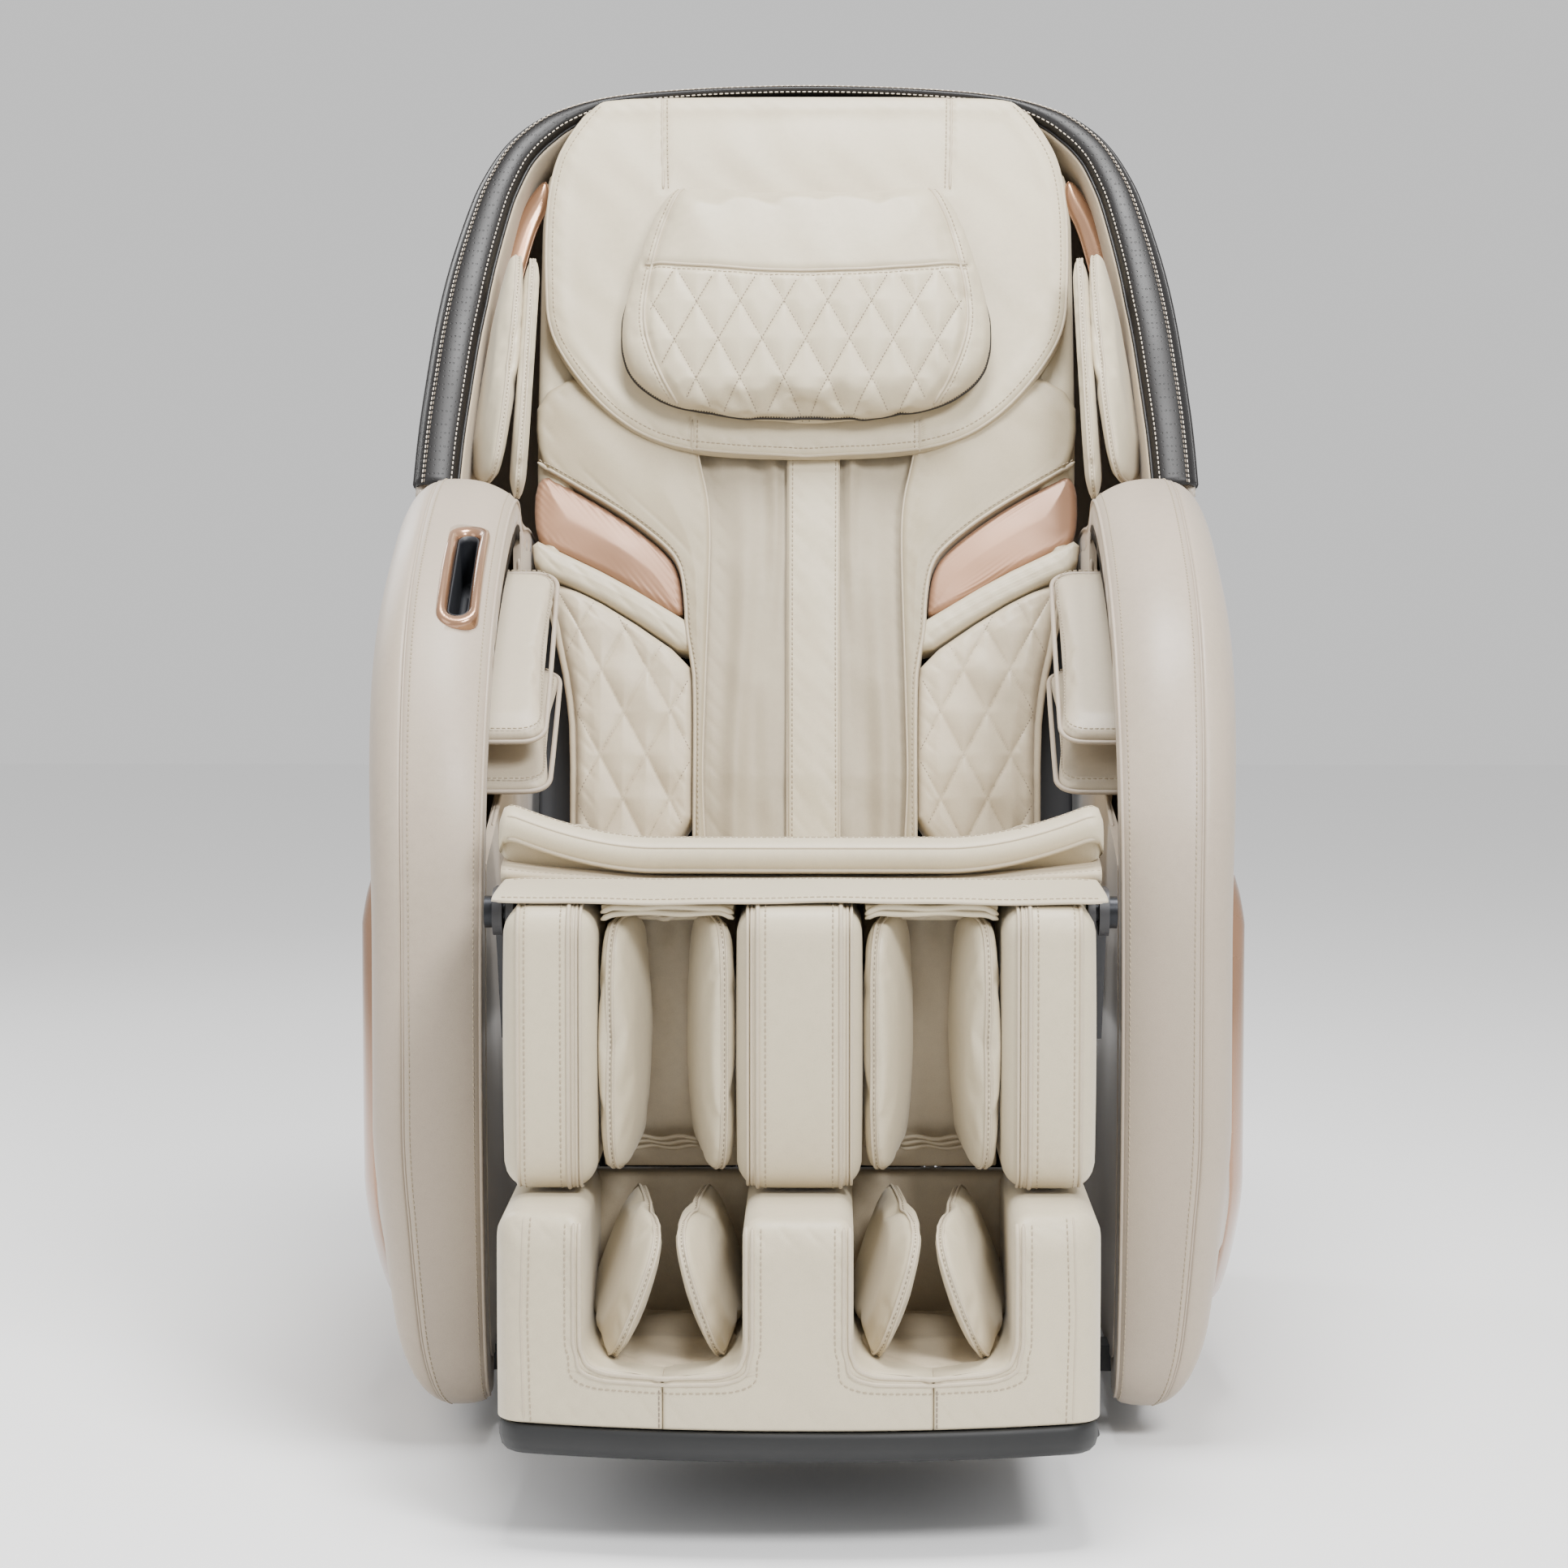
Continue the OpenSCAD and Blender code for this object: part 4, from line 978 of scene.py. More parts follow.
HP = Relief(pad_poly, pad_f, 16, rnd=8, it=2, creases=vert, bulge=2.5, bw=45,
            quilt=lambda x, u, d: -2.0 * np.exp(-((d - 16) / 9) ** 2) + 1.2 * np.sin(x * 0.021 + 1.0) * np.sin(u * 0.03) * np.clip(d / 40, 0, 1))
HEAD_SPAN = tuple(map(float, bk(0, 836, -112).ravel())), tuple(map(float, bk(0, 806, -112).ravel()))


def crosses(ob, mat, pad=None, repl=None):
    """for pieces that run from the shell over the hinge roll on to the head pad: bakes the transform, attaches them to
    no body and hides the part they replace
    """
    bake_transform(ob)
    if repl:
        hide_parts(repl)


hp_ob = HP.mesh("head_pad_cover", "cream", "head", nx=120, nu=130, ride=False)
crosses(hp_ob, "cream", 0.5, "head_pad")
SPANS["headtop"] = crosses
edge = [p for p in chaikin(PAD, 2, closed=False)]
edge = np.array([(x, u) for x, u in edge if u < 847])
full = np.vstack([edge, (edge * [-1, 1])[::-1]])
ctr = np.array([0, 640.0])


def shrink(line, d):
    t = np.gradient(line, axis=0); t /= np.linalg.norm(t, axis=1, keepdims=True)
    n = np.stack([t[:, 1], -t[:, 0]], 1)
    n *= np.sign(((ctr - line) * n).sum(1))[:, None]
    return line + n * d


full = resample(full, 4.0)
tube(HP.on(shrink(full, 2.4), -1.2), 2.0, "headtop")
stitch(HP.on(shrink(full, 8.5), 0.1), "headtop")
for s in (1, -1):
    tube(HP.on([(143.5 * s, 850), (142.5 * s, 790), (141 * s, 748)], 0.6), 1.5, "headtop")
    stitch(HP.on([(138.5 * s, 848), (137.5 * s, 790), (136 * s, 748)], 0.1), "headtop", pitch=4.5)
    tube(HP.on([(110 * s, 505), (110 * s, 474)], 0.4), 1.3, "head")
    stitch(HP.on([(105 * s, 505), (105 * s, 476)], 0.1), "head", pitch=4.5)

PIL = [(0, 745), (122, 743), (140, 734), (150, 715), (167, 665), (179, 612), (182, 585), (180, 560), (168, 532), (128, 504), (62, 491), (0, 489)]
pil = PIL + [(-x, u) for x, u in PIL[-2:0:-1]]
PR = Relief(pil, lambda x, u: -155.0 + 0 * x, 35, rnd=22, it=2, bulge=11, bw=62)
pill = PR.mesh("pillow", "cream", "head", nx=70, nu=60, ride=False)
inflate(pill, pressure=4.0, cap=9.0, voxel=5.0)
pill.data.materials.clear(); pill.data.materials.append(M["cream"])
SEAM = [(-156, 651), (-109, 643), (-55, 637.5), (0, 635.5), (55, 637), (109, 642.5), (156, 650)]
GUS = [(117, 741), (127, 722), (139, 694), (149, 652), (156, 612), (155, 578), (140, 535), (118, 503), (104, 494)]
Pb = to_bk(getco(pill))
fr = Pb[:, 2] < -138
P2 = Pb[:, :2]
ds = seg_dist(P2, chaikin(SEAM, 2, closed=False))
dv = 3.2 * np.exp(-(ds / 4.5) ** 2)
dg = np.minimum(seg_dist(P2, chaikin(GUS, 2, closed=False)), seg_dist(P2, chaikin([(-x, u) for x, u in GUS], 2, closed=False)))
dv += 2.6 * np.exp(-(dg / 4.0) ** 2)
gx = np.interp(P2[:, 1], [494, 535, 578, 612, 652, 694, 741], [104, 140, 155, 156, 149, 139, 117])
su = np.interp(P2[:, 0], [p[0] for p in SEAM], [p[1] for p in SEAM])
inq = np.clip((gx - np.abs(P2[:, 0])) / 8, 0, 1) * np.clip((su - P2[:, 1]) / 8, 0, 1) * np.clip((P2[:, 1] - 495) / 10, 0, 1)
QX, QU = 21.0, 38.0
qa = P2[:, 0] / QX / 2 + (P2[:, 1] - 492) / QU / 2
qb = P2[:, 0] / QX / 2 - (P2[:, 1] - 492) / QU / 2
qm = np.minimum(np.abs(np.sin(np.pi * qa)), np.abs(np.sin(np.pi * qb)))
dv += inq * (2.2 - 4.6 * qm ** 0.6)
Pb[:, 2] = np.where(fr, Pb[:, 2] + dv * np.clip((-138 - Pb[:, 2]) / 10, 0, 1), Pb[:, 2])
Pb[:, 2] = np.clip(Pb[:, 2], -176.5, -119.6)
setco(pill, bk(Pb[:, 0], Pb[:, 1], Pb[:, 2]))
register(pill, "head", "head_pillow")
tp = tree(pill)


def on_pill(line, step=2.5, lift=0.2):
    L = resample(line, step)
    return cast(tp, bk(L[:, 0], L[:, 1], -230.0), DB, lift)


tube(on_pill(chaikin(SEAM, 2, closed=False) + [0, 2.0]), 1.5, "head")
stitch(on_pill(chaikin(SEAM, 2, closed=False) + [0, -3.6]), "head")
for s in (1, -1):
    gl = chaikin([(x * s, u) for x, u in GUS], 2, closed=False)
    tube(on_pill(gl), 1.7, "head")
    stitch(on_pill(gl + [5.0 * s, 0]), "head", pitch=4.6)
for fam in (1, -1):
    for kk in range(-9, 10):
        seg = []
        for xx in np.linspace(-158, 158, 160):
            uu = 492 + (kk - xx / QX / 2) * 2 * QU * fam
            g = np.interp(uu, [494, 535, 578, 612, 652, 694], [104, 140, 155, 156, 149, 139])
            if 494 < uu < np.interp(xx, [p[0] for p in SEAM], [p[1] for p in SEAM]) - 5 and abs(xx) < g - 4:
                seg.append((xx, uu))
        if len(seg) > 3:
            stitch(on_pill(seg, 2.0, 0.1), "head", "threaddark", pitch=3.6, length=2.1, r=0.5)
# black zip round the sides and bottom of the pillow
zl = np.array([p for p in chaikin(PIL, 2, closed=False) if p[1] < 722])
zl = np.vstack([zl, (zl * [-1, 1])[::-1]])
zl = resample(zl, 4.0)
cpil = np.array([0, 612.0])
W = []
for x, u in zl:
    o = bk(np.array([x * 1.6]), np.array([612 + (u - 612) * 1.6]), np.array([-136.0]))[0]
    c = bk(np.array([x * 0.5]), np.array([612 + (u - 612) * 0.5]), np.array([-136.0]))[0]
    h = tp.ray_cast(Vector(o), (Vector(c) - Vector(o)).normalized())
    if h[0] is not None:
        W.append(np.array(h[0]))
tube(np.array(W), 1.5, "head", "zip")
stitch(np.array(W) + np.array(bk(0, 0, -3.2) - bk(0, 0, 0)), "head", "zip", pitch=2.6, length=1.4, r=0.8)


# ================================================================== shoulder airbags
def leaf(name, pts, x0, th, lean, yaw, plane_u0, body, repl, mirror=True, mat="cream", cap=6.0, coord="bk"):
    """a thin air cushion standing edge-on: pts are (depth, height)"""
    out = []
    base = Relief(pts, lambda a, b: 0 * a, th * 0.78, plane=lambda a, b, d: np.stack([d, a, b], -1) / 1000.0, rnd=th * 0.36, it=2, slack=0.0)
    ob = base.mesh("tmp", mat, body, nx=34, nu=50, ride=False)
    inflate(ob, pressure=3.0, cap=cap, voxel=5.0)
    P = getco(ob) * 1000
    cd = base.poly.mean(0)

    def place(P, s):
        q = P.copy()
        d, a, b = q[:, 0] - th * 0.39, q[:, 1], q[:, 2]
        ya, le = math.radians(yaw), math.radians(lean)
        a0, b0 = cd[0], plane_u0
        d2 = d * math.cos(ya) + (a - a0) * math.sin(ya)
        a2 = a0 + (a - a0) * math.cos(ya) - d * math.sin(ya)
        d3 = d2 * math.cos(le) - (b - b0) * math.sin(le)
        b3 = b0 + (b - b0) * math.cos(le) + d2 * math.sin(le)
        x = (x0 + d3) * s
        if coord == "bk":
            return bk(x, b3, a2)
        return wd(x, a2, b3)
    edge = resample(base.poly, 3.0, closed=True)
    tr0 = tree(ob)
    ed = []
    c3 = Vector((th * 0.39 / 1000, cd[0] / 1000, cd[1] / 1000))
    for a, b in edge:
        o = Vector((th * 0.39 / 1000, (cd[0] + (a - cd[0]) * 1.5) / 1000, (cd[1] + (b - cd[1]) * 1.5) / 1000))
        h = tr0.ray_cast(o, (c3 - o).normalized())
        if h[0] is not None:
            ed.append(np.array(h[0]) * 1000)
    ed = np.array(ed)
    faces = [tuple(p.vertices) for p in ob.data.polygons]
    sides = ((1, "left"), (-1, "right"))
    bpy.data.objects.remove(ob)
    for s, sd in sides:
        o2 = link(name + "_" + sd, place(P, s), faces, mat, body, repl=(repl % sd,) if repl and "%s" in repl else (), pad=0.5)
        for k, off in enumerate((-2.2, 2.2)):
            E = ed + [off, 0, 0]
            tube(place(E, s), 1.1, body, "piping", closed=True)
        stitch(place(np.vstack([ed, ed[:1]]) + [0, 0, 0], s), body, "threaddark", pitch=4.2, length=2.6, r=0.5)
        out.append(o2)
    return out


OUTER = [(-212, 420), (-216, 480), (-206, 560), (-190, 618), (-176, 652), (-166, 662), (-152, 656), (-136, 620), (-118, 540), (-112, 452), (-130, 436), (-180, 414)]
INNER = [(-208, 404), (-214, 470), (-204, 560), (-186, 625), (-174, 652), (-164, 658), (-152, 650), (-140, 610), (-128, 540), (-126, 440), (-150, 410), (-185, 396)]
leaf("shoulder_airbag_outer", OUTER, 304, 17, 6.4, 19, 430, "back", "%s_shoulder_airbags")
leaf("shoulder_airbag_inner", INNER, 273, 12, 2.4, 7, 430, "back", None, cap=3.0)

# ================================================================== arms
ARM_F = [(-250, 24), (-288, 27), (-314, 48), (-330, 104), (-341, 170), (-348, 250), (-351, 370), (-347, 460), (-334, 535), (-307, 602), (-263, 666), (-204, 718), (-131, 762), (-46, 797), (20, 813), (58, 817), (88, 812), (104, 797)]
ARM_R = [(P1Y + 430 * math.sin(math.radians(a)), P1Z + 430 * math.cos(math.radians(a))) for a in np.linspace(-5, 42, 10)]
ARM_R += [(506, 612), (536, 530), (552, 430), (552, 300), (536, 180), (514, 98), (490, 46), (462, 26), (440, 24)]
arm_line = chaikin(ARM_F + ARM_R, 2, closed=False)
arm_line = resample(arm_line, n=230)
at = np.gradient(arm_line, axis=0); at /= np.linalg.norm(at, axis=1, keepdims=True)
arm_nrm = np.stack([-at[:, 1], at[:, 0]], 1)      # outwards
if ((arm_line - [100, 350]) * arm_nrm).sum() < 0:
    arm_nrm = -arm_nrm
arm_nrm = np.stack([np.convolve(np.r_[[c[0]] * 12, c, [c[-1]] * 12], np.hanning(27)[1:-1], "valid") for c in arm_nrm.T], 1)
arm_nrm /= np.linalg.norm(arm_nrm, axis=1, keepdims=True)
arc_s = np.r_[0, np.cumsum(np.linalg.norm(np.diff(arm_line, axis=0), axis=1))]
# how strongly the arm is crowned: little down the front, strongly over the top
crown = np.interp(arc_s, [0, 350, 560, 760, 920, 1100, 1500, 2300], [5, 8, 12, 24, 34, 36, 26, 10])
narrow = np.interp(arc_s, [0, 350, 620, 800, 980, 1200, 1600, 2300], [0, 1, 5, 12, 20, 22, 12, 2])
XI, XO, XP = 264.0, 366.0, 392.0
TS = 0.80                                         # where the outer seam sits in the run of points across the arm


def side_x(y, z):
    """outer face of the arm: leans in towards the front, tucked under at the bottom"""
    return 391.6 - 0.105 * np.maximum(0, -y) - 30 * np.clip((200 - z) / 165, 0, 1) ** 1.5


deep = arm_line - arm_nrm * 45
x_out = side_x(deep[:, 0], deep[:, 1])
cap_w = np.interp(arc_s, [480, 700, 860, 1250, 1700], [0, 0.6, 1, 1, 0])
x_out = x_out - cap_w * (x_out - 369)
low = np.interp(arm_line[:, 1], [24, 34, 50, 65, 126, 228, 300], [310, 322, 332, 339, 347, 357, 400])
x_out = np.where(arm_line[:, 0] < 0, np.minimum(x_out, low), x_out)
x_out = np.convolve(np.r_[[x_out[0]] * 3, x_out, [x_out[-1]] * 3], np.ones(7) / 7, "valid")
shoulder = np.interp(arc_s, [0, 150, 600, 900, 1200, 1700, 2300], [16, 34, 46, 58, 58, 40, 18])


def arm_pt(i, t):
    """t 0 at the inner edge, TS at the outer seam, 1 where the side begins; gives x and the drop from the outline"""
    xo, xi = x_out[i], XI + 1
    xs, xm = xi + 0.69 * (xo - xi), xi + 0.57 * (xo - xi)
    if t <= TS:
        x = xi + (xs - xi) * t / TS
    else:
        s0 = (xs - xm) / (xo - xm)
        x = xm + (xo - xm) * (s0 + (1 - s0) * math.sin(math.pi / 2 * (t - TS) / (1 - TS)))
    if x < xm:
        drop = min(crown[i], 20) * ((xm - x) / (xm - xi)) ** 2.6
        di = (x - xi) / 7.0
        drop += 7.0 * (1 - math.sqrt(max(0, 1 - (1 - min(di, 1)) ** 2)))
    else:
        q = min(1.0, (x - xm) / (xo - xm))
        drop = shoulder[i] * (1 - max(0.0, 1 - q ** 2.2) ** (1 / 2.2))
    return x, drop


def arm_world(i, t, s, lift=0.0):
    x, drop = arm_pt(i, t)
    p = arm_line[i] - arm_nrm[i] * (drop - lift)
    return wd(np.array(x * s), np.array(p[0]), np.array(p[1]))


def arm(s, side):
    n = len(arm_line)
    ts = np.r_[np.linspace(0, 0.12, 7), np.linspace(0.15, TS - 0.02, 16), TS]
    ringsA = []
    for i in range(n):
        ring = [wd(np.array((XI + 1) * s), *(arm_line[i] - arm_nrm[i] * 42)), wd(np.array((XI + 1) * s), *(arm_line[i] - arm_nrm[i] * (crown[i] + 20)))]
        for t in ts:
            groove = 1.6 * math.exp(-((t - TS) / 0.012) ** 2)
            ring.append(arm_world(i, t, s, -groove))
        x, drop = arm_pt(i, TS)
        ring.append(wd(np.array((x) * s), *(arm_line[i] - arm_nrm[i] * (drop + 16))))
        ring.append(wd(np.array((x - 4) * s), *(arm_line[i] - arm_nrm[i] * 42)))
        ringsA.append(ring)
    V, F = loft(ringsA, closed_ring=True)
    ob = link("arm_band_" + side, V, F, "arm", "base", repl=side + "_arm_band", pad=0.6, ride=True)
    # outer shell panel with a rounded shoulder
    to = np.linspace(TS + 0.004, 1, 16)
    fb = np.linspace(0, 1, 42)[1:-1, None]

    def closed_row(row):
        row = np.array(row)
        return np.vstack([row, row[-1] + (row[0] - row[-1]) * fb])
    R = []
    for k, t in enumerate(to):
        R.append(closed_row([arm_world(i, t, s, -1.0 * math.exp(-((t - TS - 0.004) / 0.01) ** 2)) for i in range(n)]))
    c0 = np.array([100.0, 380.0])
    edge_line = np.array([arm_line[i] - arm_nrm[i] * arm_pt(i, 1.0)[1] for i in range(n)])
    for q in (0.97, 0.94, 0.9, 0.85, 0.78, 0.7, 0.6, 0.45, 0.3, 0.15):
        row = []
        w_ = np.hanning(2 * int(3 + (1 - q) * 60) + 3)[1:-1]; w_ /= w_.sum(); h_ = len(w_) // 2
        soft_line = np.stack([np.convolve(np.r_[2 * c[0] - c[h_:0:-1], c, 2 * c[-1] - c[-2:-h_ - 2:-1]], w_, "valid") for c in edge_line.T], 1)
        for i in range(n):
            x, drop = arm_pt(i, 1.0)
            p = c0 + (soft_line[i] - c0) * q
            b = min(1.0, (1 - q) / 0.3); b = b * b * (3 - 2 * b)
            row.append(wd(np.array((x + (side_x(p[0], p[1]) - x) * b) * s), *p))
        R.append(closed_row(row))
    V, F = loft(R, closed_ring=True, cap=False)
    m = len(R[0])
    F.append(tuple((len(R) - 1) * m + j for j in range(m)))
    pn = link("arm_outer_panel_" + side, V, F, "arm", "base", ride=False)
    mod(pn, "SOLIDIFY", thickness=0.004, offset=-1.0, use_even_offset=False)
    apply_mods(pn)
    register(pn, "base", side + "_arm_side_panel")
    # seams
    ii = range(3, n - 3)
    stitch(np.array([arm_world(i, TS - 0.065, s, 0.2) for i in ii]), "base", pitch=4.8)
    tube(np.array([arm_world(i, TS, s, -0.8) for i in ii]), 1.0, "base", "arm")
    stitch(np.array([arm_world(i, 0.085, s, 0.15) for i in ii]), "base", pitch=4.8)
    tube(np.array([arm_world(i, 0.02, s, 0.6) for i in ii]), 1.7, "base", "arm")
    # inner panel: follows the arm's inside below the forearm space
    inner = [arm_line[i] - arm_nrm[i] * 41 for i in range(0, n, 3)]
    poly = []
    cav = np.array([(-330, 515), (-215, 515), (-60, 560), (75, 640), (75, 900), (-330, 900)], float)

    def in_cav(p):
        y, z = p
        if y > 75 or y < -330:
            return False
        lim = np.interp(y, [-330, -215, -60, 75], [515, 515, 560, 640])
        return z > lim
    front = [p for p in inner if p[0] < 75 and p[1] < 515 and p[0] < 0]
    rear = [p for p in inner if p[0] > 77]
    poly = front + [np.array([-215, 515.0]), np.array([-60, 560.0]), np.array([74, 640.0]), np.array([76, rear[0][1]])] + rear
    poly = rounded(poly, 6, n=3)
    f = side_plane(-s)
    bm = bmesh.new()
    vs = [bm.verts.new(tuple(wd(np.array((XI) * s), np.array(p[0]), np.array(p[1])))) for p in poly]
    face = bm.faces.new(vs)
    bmesh.ops.triangulate(bm, faces=[face])
    bmesh.ops.subdivide_edges(bm, edges=[e for e in bm.edges if e.calc_length() > 0.1], cuts=1)
    me = bpy.data.meshes.new("inner"); bm.to_mesh(me); bm.free()
    me.materials.append(M["arm"])
    ip = bpy.data.objects.new("arm_inner_panel_" + side, me); scene.collection.objects.link(ip)
    mod(ip, "SOLIDIFY", thickness=0.007, offset=0.0)
    apply_mods(ip)
    P = getco(ip); P[:, 0] += 0.0036 * s; setco(ip, P)
    for pp in ip.data.polygons:
        pp.use_smooth = False
    register(ip, "base", side + "_arm_inner_panel")
    # piping along the lip of the forearm space inside the arm
    lip = np.array([(-214, 515.0), (-60, 560.0), (74, 640.0), (76, 742)])
    tube(wd(np.full(4, XI * s + 2 * s), lip[:, 0], lip[:, 1]), 2.0, "base", "arm")
    # outer trim
    th = np.linspace(math.radians(196), math.radians(292), 60)

    A0 = np.array([(90 + 300 * math.cos(a), 330 + 300 * math.sin(a)) for a in th])
    tr_rows = []
    z = np.linspace(66, 468, 70)
    outer_y = 90 - np.sqrt(np.maximum(0, 300 ** 2 - (z - 330) ** 2))
    inner_y = 150 - np.sqrt(np.maximum(0, 305 ** 2 - (z - 372) ** 2))
    wdt = inner_y - outer_y
    for zz, a, b in zip(z, outer_y, inner_y):
        tap = np.clip((468 - zz) / 40, 0.05, 1) ** 0.5 * np.clip((zz - 64) / 10, 0.2, 1) ** 0.5
        row = []
        for t in np.linspace(0, 1, 15):
            hgt = 11.5 * (1 - abs(2 * t - 1) ** 2.4) * tap
            row.append(wd(np.array((float(side_x(a + (b - a) * t, zz)) - 0.6 + hgt) * s), np.array(a + (b - a) * t), np.array(zz)))
        row += [wd(np.array((float(side_x(b, zz)) - 5) * s), np.array(b), np.array(zz)), wd(np.array((float(side_x(a, zz)) - 5) * s), np.array(a), np.array(zz))]
        tr_rows.append(row)
    V, F = loft(tr_rows, closed_ring=True)
    link("arm_trim_" + side, V, F, "rose", "base", repl=side + "_arm_trim")
    return ob


both(arm)


def arm_bag(name, y0, z0, y1, z1, x0, rep):
    """thin air cushion over or under the forearm"""
    a = math.atan2(z1 - z0, y1 - y0); Lg = math.hypot(z1 - z0, y1 - y0)
    pts = rounded([(x0, 0), (330, 0), (330, Lg), (x0 + 2, Lg)], 24, n=6)
    base = Relief(pts, lambda p, q: 0 * p, 12, plane=lambda p, q, d: np.stack([p, q, -d], -1) / 1000.0, rnd=5.5, it=1, slack=0.0)
    ob = base.mesh("tmp", "arm", "base", nx=40, nu=60, ride=False)
    inflate(ob, pressure=2.6, cap=5.0, voxel=5.0)
    P = getco(ob) * 1000
    faces = [tuple(p.vertices) for p in ob.data.polygons]
    bpy.data.objects.remove(ob)

    def place(P, s):
        q, d = P[:, 1], P[:, 2] - 1.5
        y = y0 + q * math.cos(a) - d * math.sin(a)
        z = z0 + q * math.sin(a) + d * math.cos(a)
        return wd(P[:, 0] * s, y, z)
    e = resample(base.poly, 3.0, closed=True)
    e = e[e[:, 0] < 316]
    k = np.argmax(np.linalg.norm(np.diff(e, axis=0), axis=1))
    e = np.vstack([e[k + 1:], e[:k + 1]])
    for s, sd in ((1, "left"), (-1, "right")):
        link(name + "_" + sd, place(P, s), faces, "forearm", "base", pad=0.5, repl=(sd + "_arm_airbags",) if rep else ())
        E = np.stack([e[:, 0], e[:, 1], np.full(len(e), -6.0)], 1)
        tube(place(E, s), 2.2, "base", "arm")
        c = np.array([285, Lg / 2])
        ins = e + (c - e) / np.linalg.norm(c - e, axis=1, keepdims=True) * 8
        ins = ins[ins[:, 0] < 300]
        stitch(place(np.stack([ins[:, 0], ins[:, 1], np.full(len(ins), 3.2)], 1), s), "base", pitch=4.8)


arm_bag("forearm_pad_upper", -190, 592, 18, 735, 223, True)
arm_bag("forearm_pad_lower", -183, 549, 4, 646, 220, False)

# phone pocket
pt = math.radians(29.5)


def pk(x, y, z):
    x, y, z = np.broadcast_arrays(np.asarray(x, float), y, z)
    return wd(-(295 + x), -168 + y * math.cos(pt) - z * math.sin(pt), 736 + y * math.sin(pt) + z * math.cos(pt))


def stad(r, h, n=14):
    a = np.linspace(-math.pi, 0, n); b = np.linspace(0, math.pi, n)
    return np.vstack([np.stack([r * np.cos(a), -h + r * np.sin(a)], 1), np.stack([r * np.cos(b), h + r * np.sin(b)], 1)])


def bend(y):
    return -10.5 * (y / 84.0) ** 2 + 1.0


q = resample(stad(17.0, 65), n=72, closed=True)
V, F = loft([pk(q[:, 0], q[:, 1], z) for z in (-60, -20, 22)], closed_ring=True)
cutter = link("cutter", V, F, "arm", None, ride=False)
band = bpy.data.objects["arm_band_right"]
md = mod(band, "BOOLEAN", operation="DIFFERENCE", object=cutter, solver="EXACT")
apply_mods(band)
bpy.data.objects.remove(cutter)
rg = []
for r, h, z in ((17.5, 66, -12), (18.5, 66, -6), (18.6, 66, 0), (17.8, 66, 3.4), (15.2, 65.5, 4.6), (12.0, 62, 3.2), (9.8, 60, -1.0), (9.2, 59.5, -9)):
    q = resample(stad(r, h), n=96, closed=True)
    rg.append(pk(q[:, 0], q[:, 1], z + (bend(q[:, 1]) if z > -20 else 0)))
V, F = loft(rg, closed_ring=True, cap=False)
bz = link("phone_pocket_bezel", V, F, "rose", "base", ride=False)
mod(bz, "SOLIDIFY", thickness=0.0014, offset=-1.0)
apply_mods(bz)
register(bz, "base", "phone_pocket")
rg = []
for r, h, z in ((9.3, 59.6, -7), (9.0, 58.5, -12), (8.8, 58, -53), (8.0, 57, -55.5), (4, 50, -56), (0.5, 40, -56)):
    q = resample(stad(r, h), n=64, closed=True)
    rg.append(pk(q[:, 0], q[:, 1], z))
V, F = loft(rg, closed_ring=True, cap=False)
well = link("phone_pocket_liner", V, F, "dark", "base", ride=False)
mod(well, "SOLIDIFY", thickness=0.0012, offset=-1.0)
apply_mods(well)
register(well, "base")

# ================================================================== seat
TOPL = [(112, 447), (100, 452), (60, 458), (-60, 473), (-180, 492), (-250, 503), (-300, 510), (-345, 517), (-372, 518.5), (-386, 514), (-391.5, 505), (-391, 496), (-386, 490), (-368, 487.8), (-330, 487.5), (-290, 486)]
BOT = [(-276, 470), (-275, 439), (-180, 431), (0, 414), (114, 404), (118, 420), (117, 440)]
sec = np.vstack([chaikin(TOPL, 2, closed=False), chaikin(BOT, 1, closed=False)])
sec = np.vstack([resample(sec[:len(chaikin(TOPL, 2, closed=False))], n=90), resample(sec[len(chaikin(TOPL, 2, closed=False)):], n=30)])


def seat_hw(y):
    return np.interp(y, [-400, -282, -260, 130], [247, 247, 205, 205])


def seat_pt(k, t):
    y, z = sec[k]
    w = seat_hw(y)
    x = t * w
    ax = abs(x)
    top = k < 78
    lipf = float(np.clip((-235 - y) / 40, 0, 1))
    rise = 30 * lipf * float(np.clip((ax - 120) / 125, 0, 1)) ** 1.8
    er = 9.0 + 7.0 * lipf
    d = w - ax
    edge = er * (1 - math.sqrt(max(0, 1 - (1 - min(d / er, 1)) ** 2)))
    back = 4.0 * lipf * (ax / 247) ** 2
    if top:
        z2 = z + rise - edge * (0.9 if z > 455 else 0.4)
        y2 = y + back + edge * 0.5 * lipf
        dish = 6 * math.cos(x / 212 * 1.35) * float(np.clip((-y - -20) / 100, 0, 1)) * 0
    else:
        z2 = z + (rise * 0.35 if k < 95 and y < -262 else 0) + edge * 0.5
        y2 = y
    return x, y2, z2


tt = np.sin(np.linspace(-1, 1, 81) * math.pi / 2) * 0.5 + np.linspace(-1, 1, 81) * 0.5
R = []
for t in tt:
    R.append([wd(*[np.array(q) for q in seat_pt(k, t)]) for k in range(len(sec))])
V, F = loft(R, closed_ring=True)
seat = link("seat_cushion_cover", V, F, "cream", "seat", repl="seat_cushion", pad=0.75)
ts_ = tree(seat)
xs = np.linspace(-240, 240, 160)


def on_seat(k, lift=0.3):
    return np.array([wd(*[np.array(q) for q in seat_pt(k, x / 247)]) for x in xs]) + [0, 0, lift / 1000]


